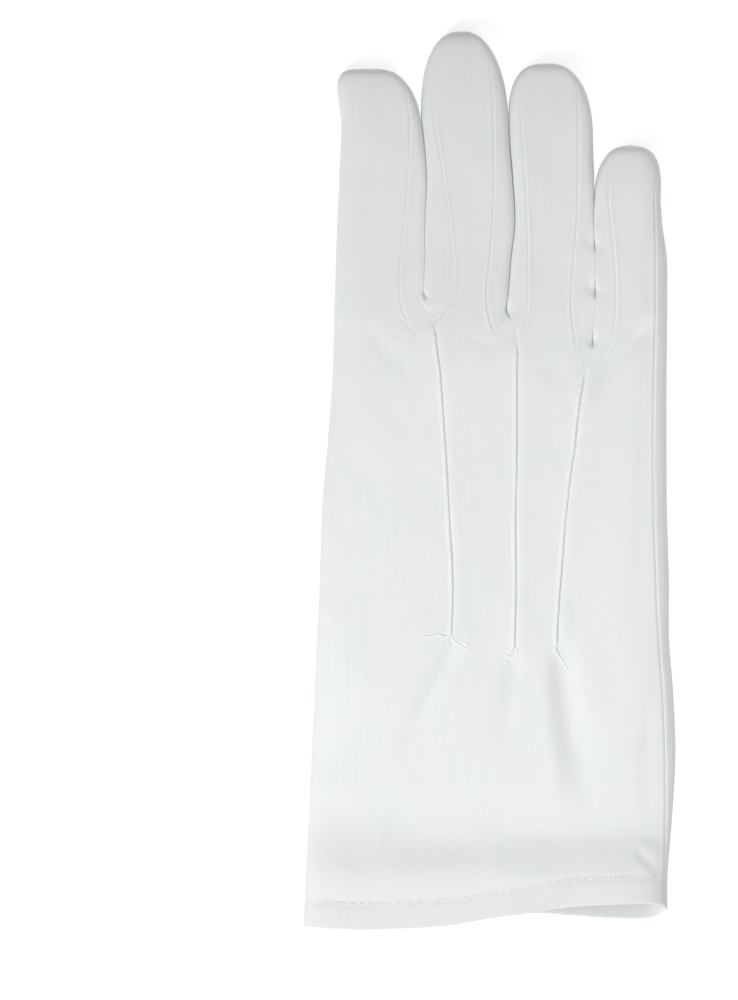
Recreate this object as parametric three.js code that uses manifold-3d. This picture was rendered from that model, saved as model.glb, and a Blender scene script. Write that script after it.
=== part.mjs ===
// A white dress glove for the right hand, cut and sewn from thin knitted cloth.
// It lies flat with the back of the hand up, and its thumb is folded under the palm.
// Millimetres. +X runs across the hand to the little finger, +Y to the fingertips and +Z up.
// The surface that it lies on is z = 0, and the origin is the middle of the outline there.

import * as THREE from "three";
import Module from "manifold-3d";

const wasm = await Module();
wasm.setup();

// Sizes of the whole glove
const CLOTH = 1.0; // thickness of every wall
const SEAM_GAP = 0.5; // between two pieces that are sewn together
const FINGER_GAP = 0.4; // between two fingers that touch
const HEM_DEPTH = 7.5; // the turned-in edge of the cuff
const MIDDLE_SHARE = 0.45; // height of the widest line, as a share of the thickness
const LOW_SEAM_SHARE = 0.8; // how far in the palm's finger seams lie, as a share of the back's

// Sizes of the folded thumb
const THUMB_HEEL = { x: -36.4, y: -43 };
const THUMB_TIP = { x: -13, y: 31 };
const THUMB_THICKNESS = 6.8;
const THUMB_WIDE = 17; // half the width at the base
const THUMB_NARROW = 10; // half the width near the tip
const THUMB_HOLE = { along: 0.33, halfLength: 23, halfWidth: 10.5 };
const LIFT_FADE = 14; // how far from the thumb the palm comes down to the surface
const BACK_LIFT = 7.2; // how much the thumb raises the back of the hand
const BACK_LIFT_REACH = 25;

// Sizes of the three raised points on the back
const POINT_WIDTH = 1.8;
const POINT_HEIGHT = 1.0;
const POINT_CLEARANCE = 0.35;

// Names the columns of a table that is written as rows of numbers.
function table(columns, rows) {
  return rows.map((row) => Object.fromEntries(columns.map((name, i) => [name, row[i]])));
}

// Lines that run the length of the glove: the folded edge, the three lines between the fingers,
// which go on down the hand as the points, the outer edge, and the seam beside it.
const LINES = table(
  ["y", "fold", "gap1", "gap2", "gap3", "outer", "outseam"],
  [
    [-126, -52.2, -21.0, 2.0, 24.0, 50.2, 48.8],
    [-112, -51.6, -20.0, 2.6, 23.5, 49.9, 48.9],
    [-93, -50.7, -18.0, 3.6, 22.4, 51.4, 49.3],
    [-76, -49.9, -15.8, 4.6, 21.2, 52.2, 49.1],
    [-60, -49.1, -13.2, 5.8, 19.8, 51.6, 48.5],
    [-44, -48.4, -11.0, 6.9, 18.8, 50.4, 47.3],
    [-29, -47.6, -10.5, 7.1, 19.7, 50.4, 46.6],
    [-8, -46.9, -11.6, 7.1, 21.4, 49.8, 46.0],
    [10, -45.4, -12.6, 7.4, 23.6, 49.7, 45.8],
    [28, -44.1, -14.4, 7.4, 26.0, 49.7, 46.0],
    [38, -43.8, -16.3, 6.9, 28.7, 49.8, 46.2],
    [46, -43.6, -17.8, 4.9, 29.1, 49.9, 46.4],
    [52, -43.4, -18.3, 5.3, 29.5, 49.9, 46.4],
    [62, -43.1, -18.1, 6.0, 29.5, 49.8, 46.4],
    [72, -42.7, -18.1, 7.1, 29.1, 48.5, 46.3],
    [84, -42.2, -17.6, 6.5, 29.4, 47.8, 46.0],
    [95, -41.7, -18.4, 5.6, 29.2, 47.8, 46.0],
    [105, -41.4, -19.7, 5.3, 29.0, 47.8, 46.0],
  ],
);

// Thickness of the hollow glove as it lies, without the thumb under it.
const THICKNESS = table(
  ["y", "total"],
  [
    [-126, 10.6],
    [-110, 9.8],
    [-60, 9.4],
    [0, 9.6],
    [40, 10.2],
    [60, 9.8],
    [85, 9.2],
    [105, 8.8],
    [126, 8.6],
  ],
);

// The edge of the cuff, on the back and on the palm, which shows below it.
const CUFF = table(
  ["x", "back", "palm"],
  [
    [-53, -124.9, -124.9],
    [-35, -125.7, -125.7],
    [-12, -124.6, -124.7],
    [1, -122.4, -122.6],
    [11, -121.0, -121.6],
    [22, -119.3, -122.2],
    [33, -118.6, -123.0],
    [44, -118.4, -123.2],
    [52, -119.0, -121.0],
  ],
);

// Each gap between two fingers. The crotch is where the two seams of the back meet, and the web is
// the deepest point of the gap seen from above. Each row has the next pair of points on those seams,
// from the crotch up: the seam of the finger on the left, and the seam of the finger on the right.
const GAPS = {
  gap1: {
    crotch: { x: -16.9, y: 41.0 },
    web: 51.5,
    seams: table(
      ["leftX", "leftY", "rightX", "rightY"],
      [
        [-21.3, 41.8, -14.4, 45.4],
        [-23.7, 45.0, -11.9, 48.2],
        [-24.9, 50.0, -10.5, 52.5],
        [-25.1, 58.0, -10.1, 61.0],
        [-24.0, 70.0, -11.2, 73.5],
        [-22.9, 82.0, -12.9, 85.0],
        [-22.4, 92.0, -14.4, 94.5],
        [-22.1, 100.0, -15.6, 101.0],
      ],
    ),
  },
  gap2: {
    crotch: { x: 6.9, y: 37.5 },
    web: 46.8,
    seams: table(
      ["leftX", "leftY", "rightX", "rightY"],
      [
        [2.9, 38.6, 8.6, 40.2],
        [0.9, 42.0, 9.8, 43.4],
        [-0.5, 47.0, 10.6, 48.5],
        [-0.9, 53.0, 10.8, 57.5],
        [0.1, 62.0, 10.6, 69.0],
        [0.9, 73.0, 10.2, 79.5],
        [1.3, 87.0, 9.6, 90.0],
        [1.1, 101.0, 9.0, 98.0],
      ],
    ),
  },
  gap3: {
    crotch: { x: 26.6, y: 29.8 },
    web: 38.5,
    seams: table(
      ["leftX", "leftY", "rightX", "rightY"],
      [
        [25.0, 33.2, 30.0, 32.4],
        [24.0, 38.5, 33.0, 36.0],
        [23.0, 44.5, 34.6, 41.5],
        [22.8, 52.0, 35.3, 48.5],
        [23.6, 62.5, 35.2, 56.5],
        [24.5, 73.0, 34.7, 64.0],
        [24.8, 86.0, 34.0, 71.0],
        [24.9, 98.0, 33.2, 78.0],
      ],
    ),
  },
};

// The fingers. From capY up, a finger rounds off to its tip, more squarely with a higher number.
const FINGERS = [
  { name: "index", left: "fold", right: "gap1", rootY: 41, capY: 100, tipX: -32.5, tipY: 115.3,
    squareLeft: 5, squareRight: 2.5 },
  { name: "middle", left: "gap1", right: "gap2", rootY: 39, capY: 101, tipX: -7.3, tipY: 125.8,
    squareLeft: 2.5, squareRight: 2.1 },
  { name: "ring", left: "gap2", right: "gap3", rootY: 34, capY: 98, tipX: 16.5, tipY: 116.8,
    squareLeft: 2.8, squareRight: 2.3 },
  { name: "little", left: "gap3", right: "outer", rootY: 30, capY: 78, tipX: 39.5, tipY: 93.7,
    squareLeft: 2.6, squareRight: 2.9 },
];

// How finely the surfaces are divided
const ACROSS = 5; // divisions across one finger's panel
const HAND_ROWS = 20; // from the cuff to the crotches
const CAP_ANGLES = [18, 36, 54, 72, 90]; // rows over a fingertip, in degrees
const STRIP_ACROSS = 3; // divisions on each half of a strip between the fingers
const THUMB_ROWS = 16;
const THUMB_SIDES = 16;

const mix = THREE.MathUtils.lerp;
const clamp = THREE.MathUtils.clamp;
const smoothstep = THREE.MathUtils.smoothstep;
const radians = THREE.MathUtils.degToRad;

// A smooth curve through one column of a table, read at any place along another column.
function along(rows, key, column, at) {
  const last = rows.length - 1;
  const place = clamp(at, rows[0][key], rows[last][key]);
  let i = rows.findIndex((row) => row[key] > place);
  i = i < 0 ? last : Math.max(i, 1);
  const slope = (j) => {
    const before = rows[Math.max(j - 1, 0)];
    const after = rows[Math.min(j + 1, last)];
    return (after[column] - before[column]) / (after[key] - before[key]);
  };
  const [from, to] = [rows[i - 1], rows[i]];
  const span = to[key] - from[key];
  const t = (place - from[key]) / span;
  const rise = to[column] - from[column];
  const [leave, arrive] = [slope(i - 1) * span, slope(i) * span];
  const cubic = 3 * rise - 2 * leave - arrive + t * (leave + arrive - 2 * rise);
  return from[column] + t * (leave + t * cubic);
}

const lineAt = (name, y) => along(LINES, "y", name, y);
const cuffAt = (side, x) => along(CUFF, "x", side, x);

// A quarter of a rounded square: 1 at 0, 0 at 1.
const rounded = (t, square) => (1 - clamp(Math.abs(t), 0, 1) ** square) ** (1 / square);

// How far a point lies outside the folded thumb's outline (negative inside), and from its axis.
function fromThumb(x, y) {
  const axis = { x: THUMB_TIP.x - THUMB_HEEL.x, y: THUMB_TIP.y - THUMB_HEEL.y };
  const length = Math.hypot(axis.x, axis.y);
  const share = clamp(((x - THUMB_HEEL.x) * axis.x + (y - THUMB_HEEL.y) * axis.y) / length ** 2, 0, 1);
  const away = Math.hypot(x - THUMB_HEEL.x - axis.x * share, y - THUMB_HEEL.y - axis.y * share);
  return { outside: away - thumbHalfWidth(share), away };
}

function thumbHalfWidth(share) {
  const taper = mix(THUMB_WIDE, THUMB_NARROW, smoothstep(share, 0.3, 1));
  return taper * (1 - Math.abs(2 * share - 1) ** 5) ** 0.5;
}

// Height of the palm's outer side where it is flat: on the surface, or on the folded thumb.
function palmHeight(x, y) {
  const { outside } = fromThumb(x, y);
  return (THUMB_THICKNESS + SEAM_GAP) * (1 - smoothstep(outside, 4, LIFT_FADE));
}

// Height of the back of the hand where it is highest.
function backHeight(x, y) {
  const { away } = fromThumb(x, y);
  return along(THICKNESS, "y", "total", y) + BACK_LIFT * Math.exp(-((away / BACK_LIFT_REACH) ** 2));
}

// How far the cloth bridges the line between two columns: 1 in the hand, 0 above the web.
function bridge(line, y) {
  const gap = GAPS[line];
  if (!gap) return 0;
  const t = clamp((y - gap.crotch.y) / (gap.web - gap.crotch.y), 0, 1);
  return Math.sqrt(1 - t * t);
}

// The two sides of a finger's column at one height, and how far it has closed to its tip.
function limits(finger, y) {
  const foot = Math.min(y, finger.capY);
  const apart = (line) => (1 - bridge(line, y)) * (GAPS[line] ? FINGER_GAP / 2 : 0);
  const left = lineAt(finger.left, foot) + apart(finger.left);
  const right = lineAt(finger.right, foot) - apart(finger.right);
  const closed = clamp((y - finger.capY) / (finger.tipY - finger.capY), 0, 1);
  const half = (right - left) / 2;
  const centre = mix((left + right) / 2, finger.tipX, closed);
  return {
    left: centre - half * rounded(closed, finger.squareLeft),
    right: centre + half * rounded(closed, finger.squareRight),
    closed,
  };
}

// Height of the outer skin at a place in a finger's column, on the back or on the palm.
function skinHeight(finger, x, y, side) {
  const { left, right, closed } = limits(finger, y);
  const half = Math.max((right - left) / 2, 1e-6);
  const across = clamp((x - (left + right) / 2) / half, -1, 1);
  const held = bridge(across < 0 ? finger.left : finger.right, y);
  const low = palmHeight(x, y);
  const high = backHeight(x, y);
  const middle = mix(low, high, MIDDLE_SHARE);
  if (side === "back") {
    const square = (across < 0 ? finger.left : finger.right) in GAPS ? 4.2 : 2.6;
    const dome = (1 - Math.abs(across) ** square) ** (1 / 2.3) * (1 - closed ** 2.6) ** 0.5;
    return middle + SEAM_GAP / 2 + (high - middle - SEAM_GAP / 2) * mix(dome, 1, held);
  }
  const bowl = Math.min(1, 1.07 * (1 - across ** 4) ** 0.5) * Math.min(1, 1.1 * (1 - closed ** 4) ** 0.5);
  return middle - SEAM_GAP / 2 - (middle - SEAM_GAP / 2 - low) * mix(bowl, 1, held);
}

// A point of the outer skin. Its facing comes from the slope of the skin, so that the walls of two
// pieces stay apart at the seam between them. On the widest line it faces straight out (level).
function skinPoint(finger, x, y, side, level = false) {
  const { left, right } = limits(finger, y);
  const step = 0.2;
  const inside = right - left > 4 * step ? clamp(x, left + 2 * step, right - 2 * step) : (left + right) / 2;
  const height = (px, py) => skinHeight(finger, px, py, side);
  const slopeX = (height(inside + step, y) - height(inside - step, y)) / (2 * step);
  const slopeY = (height(inside, y + step) - height(inside, y - step)) / (2 * step);
  const facing = new THREE.Vector3(-slopeX, -slopeY, 1).normalize();
  if (side === "palm") facing.negate();
  return { x, y, z: height(x, y), facing, level };
}

// A surface made of points that are merged where they meet.
class Surface {
  points = [];
  faces = [];
  known = new Map();

  point({ x, y, z, facing, level }) {
    const key = [x, y, z].map((v) => Math.round(v * 1000)).join();
    if (!this.known.has(key)) {
      this.known.set(key, this.points.length);
      this.points.push(Object.assign(new THREE.Vector3(x, y, z), { facing, level }));
    }
    return this.known.get(key);
  }

  triangle(a, b, c) {
    if (a !== b && b !== c && c !== a) this.faces.push([a, b, c]);
  }

  // Rows of points, each running from left to right as seen from outside, with the next row above it.
  grid(rows) {
    const ids = rows.map((row) => row.map((p) => this.point(p)));
    for (let r = 1; r < ids.length; r++) {
      for (let c = 1; c < ids[r].length; c++) {
        const [a, b] = [ids[r - 1][c - 1], ids[r - 1][c]];
        const [d, e] = [ids[r][c], ids[r][c - 1]];
        this.triangle(a, b, d);
        this.triangle(a, d, e);
      }
    }
    return this;
  }

  facings() {
    const sums = this.points.map(() => new THREE.Vector3());
    for (const [a, b, c] of this.faces) {
      const [p, q, s] = [a, b, c].map((i) => this.points[i]);
      const area = q.clone().sub(p).cross(s.clone().sub(p));
      [a, b, c].forEach((i) => sums[i].add(area));
    }
    return this.points.map(({ facing, level }, i) => (level ? sums[i].setZ(0).normalize() : facing));
  }

  // The cloth wall between this surface, sunk by one depth, and the same surface sunk by another.
  wall(thickness = CLOTH, sunk = 0) {
    const facings = this.facings();
    const at = (depth) => this.points.map((p, i) => p.clone().addScaledVector(facings[i], -depth));
    const positions = [...at(sunk), ...at(sunk + thickness)];
    const count = this.points.length;
    const edges = new Map();
    const index = [];
    for (const [a, b, c] of this.faces) {
      index.push(a, b, c, a + count, c + count, b + count);
      for (const [p, q] of [[a, b], [b, c], [c, a]]) {
        if (!edges.delete(q + "," + p)) edges.set(p + "," + q, [p, q]);
      }
    }
    for (const [p, q] of edges.values()) index.push(q, p, p + count, q, p + count, q + count);
    const geometry = new THREE.BufferGeometry().setFromPoints(positions);
    geometry.setIndex(index);
    return geometry;
  }
}

// The point on a line and the points on the two seams beside it, at each row of a gap's table.
// The fingertip's rows come after, where the seams run out to the finger's edge.
function fingerSide(finger, side) {
  const line = finger[side];
  const gap = GAPS[line];
  const other = GAPS[finger[side === "left" ? "right" : "left"]];
  const outward = side === "left" ? -1 : 1;
  const rows = [];
  if (gap) {
    const [kx, ky] = side === "left" ? ["rightX", "rightY"] : ["leftX", "leftY"];
    rows.push({ seam: gap.crotch, edge: { x: lineAt(line, gap.web), y: gap.web }, crotch: true });
    for (const row of gap.seams) {
      const share = (row[ky] - gap.crotch.y) / (finger.capY - gap.crotch.y);
      const y = mix(gap.web, finger.capY, share);
      rows.push({ seam: { x: row[kx], y: row[ky] }, edge: { x: limits(finger, y)[side], y } });
    }
  } else {
    const count = other.seams.length;
    const [, ky] = side === "left" ? ["leftX", "leftY"] : ["rightX", "rightY"];
    const heights = other.seams.map((row, i) => mix(row[ky], finger.capY, (i / count) ** 3));
    for (const y of [finger.rootY, ...heights]) {
      const edge = { x: limits(finger, y)[side], y };
      rows.push({ edge, seam: line === "outer" ? { x: lineAt("outseam", y), y } : edge });
    }
  }
  const last = rows[rows.length - 1];
  const inset = Math.abs(last.edge.x - last.seam.x);
  for (const angle of CAP_ANGLES) {
    const closed = Math.sin(radians(angle));
    const y = mix(finger.capY, finger.tipY, closed);
    const edge = { x: limits(finger, y)[side], y };
    const left = inset * Math.sqrt(Math.max(0, 1 - (closed / 0.85) ** 2));
    rows.push({ edge, seam: { x: edge.x - outward * left, y } });
  }
  return rows;
}

// A strip between the fingers runs out where it gets this narrow.
const isNarrow = ({ edge, seam }) => Math.hypot(seam.x - edge.x, seam.y - edge.y) < 2 * SEAM_GAP;

// A seam's point, moved off the seam to one side of it by half the seam's gap.
function besideSeam(pair, share, onStrip) {
  const { edge, seam } = pair;
  if (isNarrow(pair)) return { ...edge, level: true };
  const at = { x: mix(edge.x, seam.x, share), y: mix(edge.y, seam.y, share) };
  const [dx, dy] = [at.x - edge.x, at.y - edge.y];
  const move = ((onStrip ? -1 : 1) * SEAM_GAP) / 2 / Math.hypot(dx, dy);
  return { x: at.x + dx * move, y: at.y + dy * move, level: false };
}

// How far across a panel each of its columns lies, closer together towards its two sides.
const spread = (i) => mix(i / ACROSS, (1 - Math.cos((Math.PI * i) / ACROSS)) / 2, 0.7);

// One row of a panel: from its left point to its right point, with the skin's height at each.
function panelRow(finger, from, to, side) {
  const row = [];
  for (let i = 0; i <= ACROSS; i++) {
    const x = mix(from.x, to.x, spread(i));
    const y = mix(from.y, to.y, spread(i));
    const level = (i === 0 && from.level) || (i === ACROSS && to.level);
    row.push(skinPoint(finger, x, y, side, level));
  }
  return row;
}

// The rest of a palm row at the outer edge, up round the edge to the seam beside the back.
function aroundOuterEdge(finger, pair) {
  const end = besideSeam(pair, 1, true);
  return [0, 0.25, 0.6, 1].map((share) => {
    const x = mix(pair.edge.x, end.x, share);
    const y = mix(pair.edge.y, end.y, share);
    return skinPoint(finger, x, y, isNarrow(pair) ? "palm" : "back", share === 0 || isNarrow(pair));
  });
}

// The rows of one finger's part of the back or of the palm, from the crotches to the tip.
function fingerRows(finger, side) {
  const share = side === "back" ? 1 : LOW_SEAM_SHARE;
  const lefts = fingerSide(finger, "left");
  const rights = fingerSide(finger, "right");
  return lefts.map((left, i) => {
    const right = rights[i];
    const from = besideSeam(left, share, false);
    const wraps = finger.right === "outer" && side === "palm";
    const to = wraps ? { ...right.edge, level: true } : besideSeam(right, share, false);
    const row = panelRow(finger, from, to, side);
    return wraps ? [...row, ...aroundOuterEdge(finger, right)] : row;
  });
}

// Where one of a finger's columns lies in the hand, at one height.
function columnX(finger, side, i, y) {
  const toSeam = finger.right === "outer" && side === "back";
  const right = toSeam ? lineAt("outseam", y) - SEAM_GAP / 2 : lineAt(finger.right, y);
  return mix(lineAt(finger.left, y), right, spread(i));
}

// A column that lies on the glove's left or right edge.
function isEdgeColumn(finger, side, i) {
  return (i === 0 && finger.left === "fold") || (i === ACROSS && finger.right === "outer" && side === "palm");
}

// One row of a finger's column in the hand. The palm's goes on round the outer edge to the seam.
function handRow(finger, side, places) {
  const row = places.map(({ x, y }, i) => skinPoint(finger, x, y, side, isEdgeColumn(finger, side, i)));
  if (finger.right !== "outer" || side !== "palm") return row;
  const { x, y } = places[ACROSS];
  const fromCuff = y - cuffAt("palm", x);
  const top = mix(cuffAt("back", x) + fromCuff, y, smoothstep(fromCuff, 0, 40));
  const seam = { x: lineAt("outseam", top), y: top };
  return [...row, ...aroundOuterEdge(finger, { edge: { x, y }, seam })];
}

// The rows of one finger's column in the hand, from the cuff up to that finger's first row.
function handRows(finger, side, first) {
  const rows = [];
  for (let r = 0; r < HAND_ROWS; r++) {
    const t = r / HAND_ROWS;
    const places = first.slice(0, ACROSS + 1).map((end, i) => {
      const y = mix(cuffAt(side, columnX(finger, side, i, -120)), end.y, t);
      const x = columnX(finger, side, i, y);
      return { x: x + (end.x - columnX(finger, side, i, end.y)) * t ** 4, y };
    });
    rows.push(handRow(finger, side, places));
  }
  return rows;
}

// The whole back or the whole palm, as one surface that branches into the fingers.
function panelSurface(side) {
  const surface = new Surface();
  for (const finger of FINGERS) {
    const fingers = fingerRows(finger, side);
    const rows = [...handRows(finger, side, fingers[0]), ...fingers];
    surface.grid(side === "back" ? rows : rows.map((row) => [...row].reverse()));
  }
  return surface;
}

// A strip between two fingers: it covers one finger's side, from the back's seam to the palm's.
function stripSurface(finger, side) {
  const outward = side === "left" ? -1 : 1;
  const pairs = fingerSide(finger, side).filter((pair) => !isNarrow(pair));
  const rows = pairs.map((pair) => {
    const aside = pair.crotch ? (-outward * FINGER_GAP) / 2 : 0;
    const halfRow = (half, reach) => {
      const end = besideSeam(pair, reach, true);
      const row = [];
      for (let i = 0; i <= STRIP_ACROSS; i++) {
        const share = 1 - Math.cos(radians((90 * i) / STRIP_ACROSS));
        const x = mix(pair.edge.x, end.x, share);
        const y = mix(pair.edge.y, end.y, share);
        row.push({ ...skinPoint(finger, x, y, half, i === 0), x: x + aside });
      }
      return row;
    };
    return [...halfRow("back", 1).reverse(), ...halfRow("palm", LOW_SEAM_SHARE)];
  });
  return new Surface().grid(side === "right" ? rows : rows.map((row) => [...row].reverse()));
}

// The turned-in edge of the cuff: one band round the inside, against the back and the palm.
function hemSurface() {
  const rowAt = (side, rise) => FINGERS.flatMap((finger) => {
    const places = Array.from({ length: ACROSS + 1 }, (_, i) => {
      const y = cuffAt(side, columnX(finger, side, i, -120)) + rise;
      return { x: columnX(finger, side, i, y), y };
    });
    return handRow(finger, side, places).slice(finger.left === "fold" ? 0 : 1);
  });
  const rings = [0.3, HEM_DEPTH / 2, HEM_DEPTH].map((rise) => {
    const ring = [...rowAt("back", rise), ...rowAt("palm", rise).reverse()];
    return [...ring, ring[0]];
  });
  return new Surface().grid(rings);
}

const toManifold = (geometry) => {
  const vertProperties = new Float32Array(geometry.getAttribute("position").array);
  const triVerts = new Uint32Array(geometry.index.array);
  return new wasm.Manifold(new wasm.Mesh({ numProp: 3, vertProperties, triVerts }));
};

const toGeometry = (solid) => {
  const { vertProperties, triVerts } = solid.getMesh();
  const geometry = new THREE.BufferGeometry();
  geometry.setAttribute("position", new THREE.BufferAttribute(vertProperties, 3));
  geometry.setIndex(new THREE.BufferAttribute(triVerts, 1));
  return geometry;
};

// A closed body through a list of rings that all have the same number of points.
function loft(rings) {
  const surface = new Surface();
  surface.grid(rings.map((ring) => [...ring, ring[0]]));
  for (const [ring, flip] of [[rings[0], true], [rings[rings.length - 1], false]]) {
    const ids = ring.map((p) => surface.point(p));
    for (let i = 2; i < ids.length; i++) {
      const [b, c] = flip ? [ids[i], ids[i - 1]] : [ids[i - 1], ids[i]];
      surface.triangle(ids[0], b, c);
    }
  }
  const geometry = new THREE.BufferGeometry().setFromPoints(surface.points);
  geometry.setIndex(surface.faces.flat());
  return geometry;
}

// The folded thumb's body, shrunk all round by a depth.
function thumbBody(depth) {
  const axis = new THREE.Vector2(THUMB_TIP.x - THUMB_HEEL.x, THUMB_TIP.y - THUMB_HEEL.y);
  const length = axis.length();
  const ahead = axis.normalize();
  const aside = new THREE.Vector2(ahead.y, -ahead.x);
  const height = THUMB_THICKNESS / 2 - depth;
  const rings = [];
  for (let r = 1; r < THUMB_ROWS; r++) {
    const share = (1 - Math.cos((Math.PI * r) / THUMB_ROWS)) / 2;
    const start = mix(depth, length - depth, share);
    const half = Math.max(thumbHalfWidth(share) - depth, 0.3);
    const plump = 0.45 + 0.55 * Math.min(1, half / 6);
    const ring = [];
    for (let i = 0; i < THUMB_SIDES; i++) {
      const turn = (2 * Math.PI * i) / THUMB_SIDES;
      const over = half * Math.sign(Math.cos(turn)) * Math.abs(Math.cos(turn)) ** 0.85;
      const flat = Math.min(1, 1.06 * Math.abs(Math.sin(turn)) ** 0.75);
      ring.push({
        x: THUMB_HEEL.x + ahead.x * start + aside.x * over,
        y: THUMB_HEEL.y + ahead.y * start + aside.y * over,
        z: THUMB_THICKNESS / 2 + height * Math.sign(Math.sin(turn)) * flat * plump,
      });
    }
    rings.push(ring.reverse());
  }
  return toManifold(loft(rings));
}

// The oval opening where the thumb is sewn into the palm, as a prism between two heights.
function thumbHole(bottom, top) {
  const { halfLength, halfWidth } = THUMB_HOLE;
  const oval = new THREE.Shape().absellipse(0, 0, halfLength, halfWidth, 0, 2 * Math.PI);
  const outline = oval.getPoints(8).slice(0, -1);
  const ahead = Math.atan2(THUMB_TIP.y - THUMB_HEEL.y, THUMB_TIP.x - THUMB_HEEL.x);
  const centre = {
    x: mix(THUMB_HEEL.x, THUMB_TIP.x, THUMB_HOLE.along),
    y: mix(THUMB_HEEL.y, THUMB_TIP.y, THUMB_HOLE.along),
  };
  const ring = (z) => outline.map((p) => ({
    x: centre.x + p.x * Math.cos(ahead) - p.y * Math.sin(ahead),
    y: centre.y + p.x * Math.sin(ahead) + p.y * Math.cos(ahead),
    z,
  }));
  return toManifold(loft([ring(bottom), ring(top)]));
}

// One of the three raised points: a stitched tuck along a line, from the crotch down the back.
// It follows the same points on that line as the back's own rows.
function pointGeometry(line, endY) {
  const finger = FINGERS.find((f) => f.right === line);
  const first = fingerRows(finger, "back")[0];
  const spine = [...handRows(finger, "back", first), first].map((row) => row[ACROSS]);
  const low = spine.findIndex((p) => p.y > endY);
  const start = spine[low - 1];
  const cut = (endY - start.y) / (spine[low].y - start.y);
  const foot = { x: mix(start.x, spine[low].x, cut), y: endY, z: mix(start.z, spine[low].z, cut) };
  const top = spine[spine.length - 1];
  const before = spine[spine.length - 2];
  const back = 1.5 / (top.y - before.y);
  const head = { x: mix(top.x, before.x, back), y: top.y - 1.5, z: mix(top.z, before.z, back) };
  const path = [foot, ...spine.slice(low, -1), head];
  const profile = [[-1, 0], [1, 0], [0.75, 0.7], [0, 1], [-0.75, 0.7]];
  const rings = path.map((p, i) => {
    const end = i === 0 || i === path.length - 1 ? 0.45 : 1;
    return profile.map(([side, up]) => ({
      x: p.x + (side * end * POINT_WIDTH) / 2,
      y: p.y,
      z: p.z + POINT_CLEARANCE + up * end * POINT_HEIGHT,
    })).reverse();
  });
  return loft(rings);
}

const cloth = (color, roughness) => new THREE.MeshStandardMaterial({ color, roughness, metalness: 0 });
const backCloth = cloth(0xeceeec, 0.85);
const palmCloth = cloth(0xe4ebe8, 0.88);
const stripCloth = cloth(0xe6eae7, 0.85);
const hemCloth = cloth(0xe9ebe6, 0.85);

const glove = new THREE.Group();

function add(name, geometry, material) {
  const mesh = new THREE.Mesh(geometry, material);
  mesh.name = name;
  glove.add(mesh);
}

add("back_panel", panelSurface("back").wall(), backCloth);

const palm = toManifold(panelSurface("palm").wall()).subtract(thumbHole(THUMB_THICKNESS / 2, 12));
add("palm_panel", toGeometry(palm), palmCloth);

for (const finger of FINGERS) {
  for (const side of ["left", "right"]) {
    if (!GAPS[finger[side]]) continue;
    add(`fourchette_${finger.name}_${side}`, stripSurface(finger, side).wall(), stripCloth);
  }
}

const thumb = thumbBody(0).subtract(thumbBody(CLOTH)).subtract(thumbHole(THUMB_THICKNESS / 2, 12));
add("thumb", toGeometry(thumb), palmCloth);

add("cuff_hem", hemSurface().wall(CLOTH, CLOTH + SEAM_GAP), hemCloth);

const POINTS = { gap1: -44, gap2: -47, gap3: -46 };
const POINT_NAMES = { gap1: "point_index", gap2: "point_middle", gap3: "point_ring" };
for (const [line, endY] of Object.entries(POINTS)) {
  add(POINT_NAMES[line], pointGeometry(line, endY), backCloth);
}

export default glove;
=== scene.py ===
# %% [markdown]
# A white dress glove for the right hand lies flat, with its back up and its thumb folded under the palm.
# It is cut and sewn from one thin, fine knit, so all that it has to show is shape: a seam on each side of
# every finger, three stitched points down the back, a turned-in cuff and soft folds.
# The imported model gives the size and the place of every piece. Each of its plain solids is replaced here
# by a thin sheet of cloth, on the same named lines, with the seams and folds worked into the mesh.
# The other way would be to sew flat patterns together with a cloth simulation. That gives natural folds,
# but not these folds, and a lying glove is held mostly by its seams, so the surface is shaped directly.

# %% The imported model
import math
import bmesh
import bpy
import numpy as np
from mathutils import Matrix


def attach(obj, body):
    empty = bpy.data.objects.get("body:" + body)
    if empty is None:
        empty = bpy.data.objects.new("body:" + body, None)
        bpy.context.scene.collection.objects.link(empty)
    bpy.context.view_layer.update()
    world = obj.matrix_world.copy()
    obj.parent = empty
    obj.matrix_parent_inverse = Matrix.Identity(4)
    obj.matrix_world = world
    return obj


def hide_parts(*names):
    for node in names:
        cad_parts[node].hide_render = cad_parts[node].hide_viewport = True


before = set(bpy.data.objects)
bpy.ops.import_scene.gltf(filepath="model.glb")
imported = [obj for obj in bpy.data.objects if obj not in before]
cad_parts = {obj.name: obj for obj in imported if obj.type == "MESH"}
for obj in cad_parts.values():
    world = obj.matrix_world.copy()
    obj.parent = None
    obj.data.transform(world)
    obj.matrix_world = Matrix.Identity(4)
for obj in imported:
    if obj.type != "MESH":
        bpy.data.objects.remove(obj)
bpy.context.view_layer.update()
print("pieces of the packed model:", sorted(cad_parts))

# %% [markdown]
# All sizes are in millimetres until a mesh is made. X runs across the hand to the little finger, Y to the
# fingertips and Z up. The lines that shape the glove are tables, and a smooth curve through a column of
# such a table gives the line at any height.

# %% Tables and smooth curves
MM = 0.001


def table(names, rows):
    """The columns of a table, by name."""
    return dict(zip(names, np.array(rows, float).T))


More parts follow.
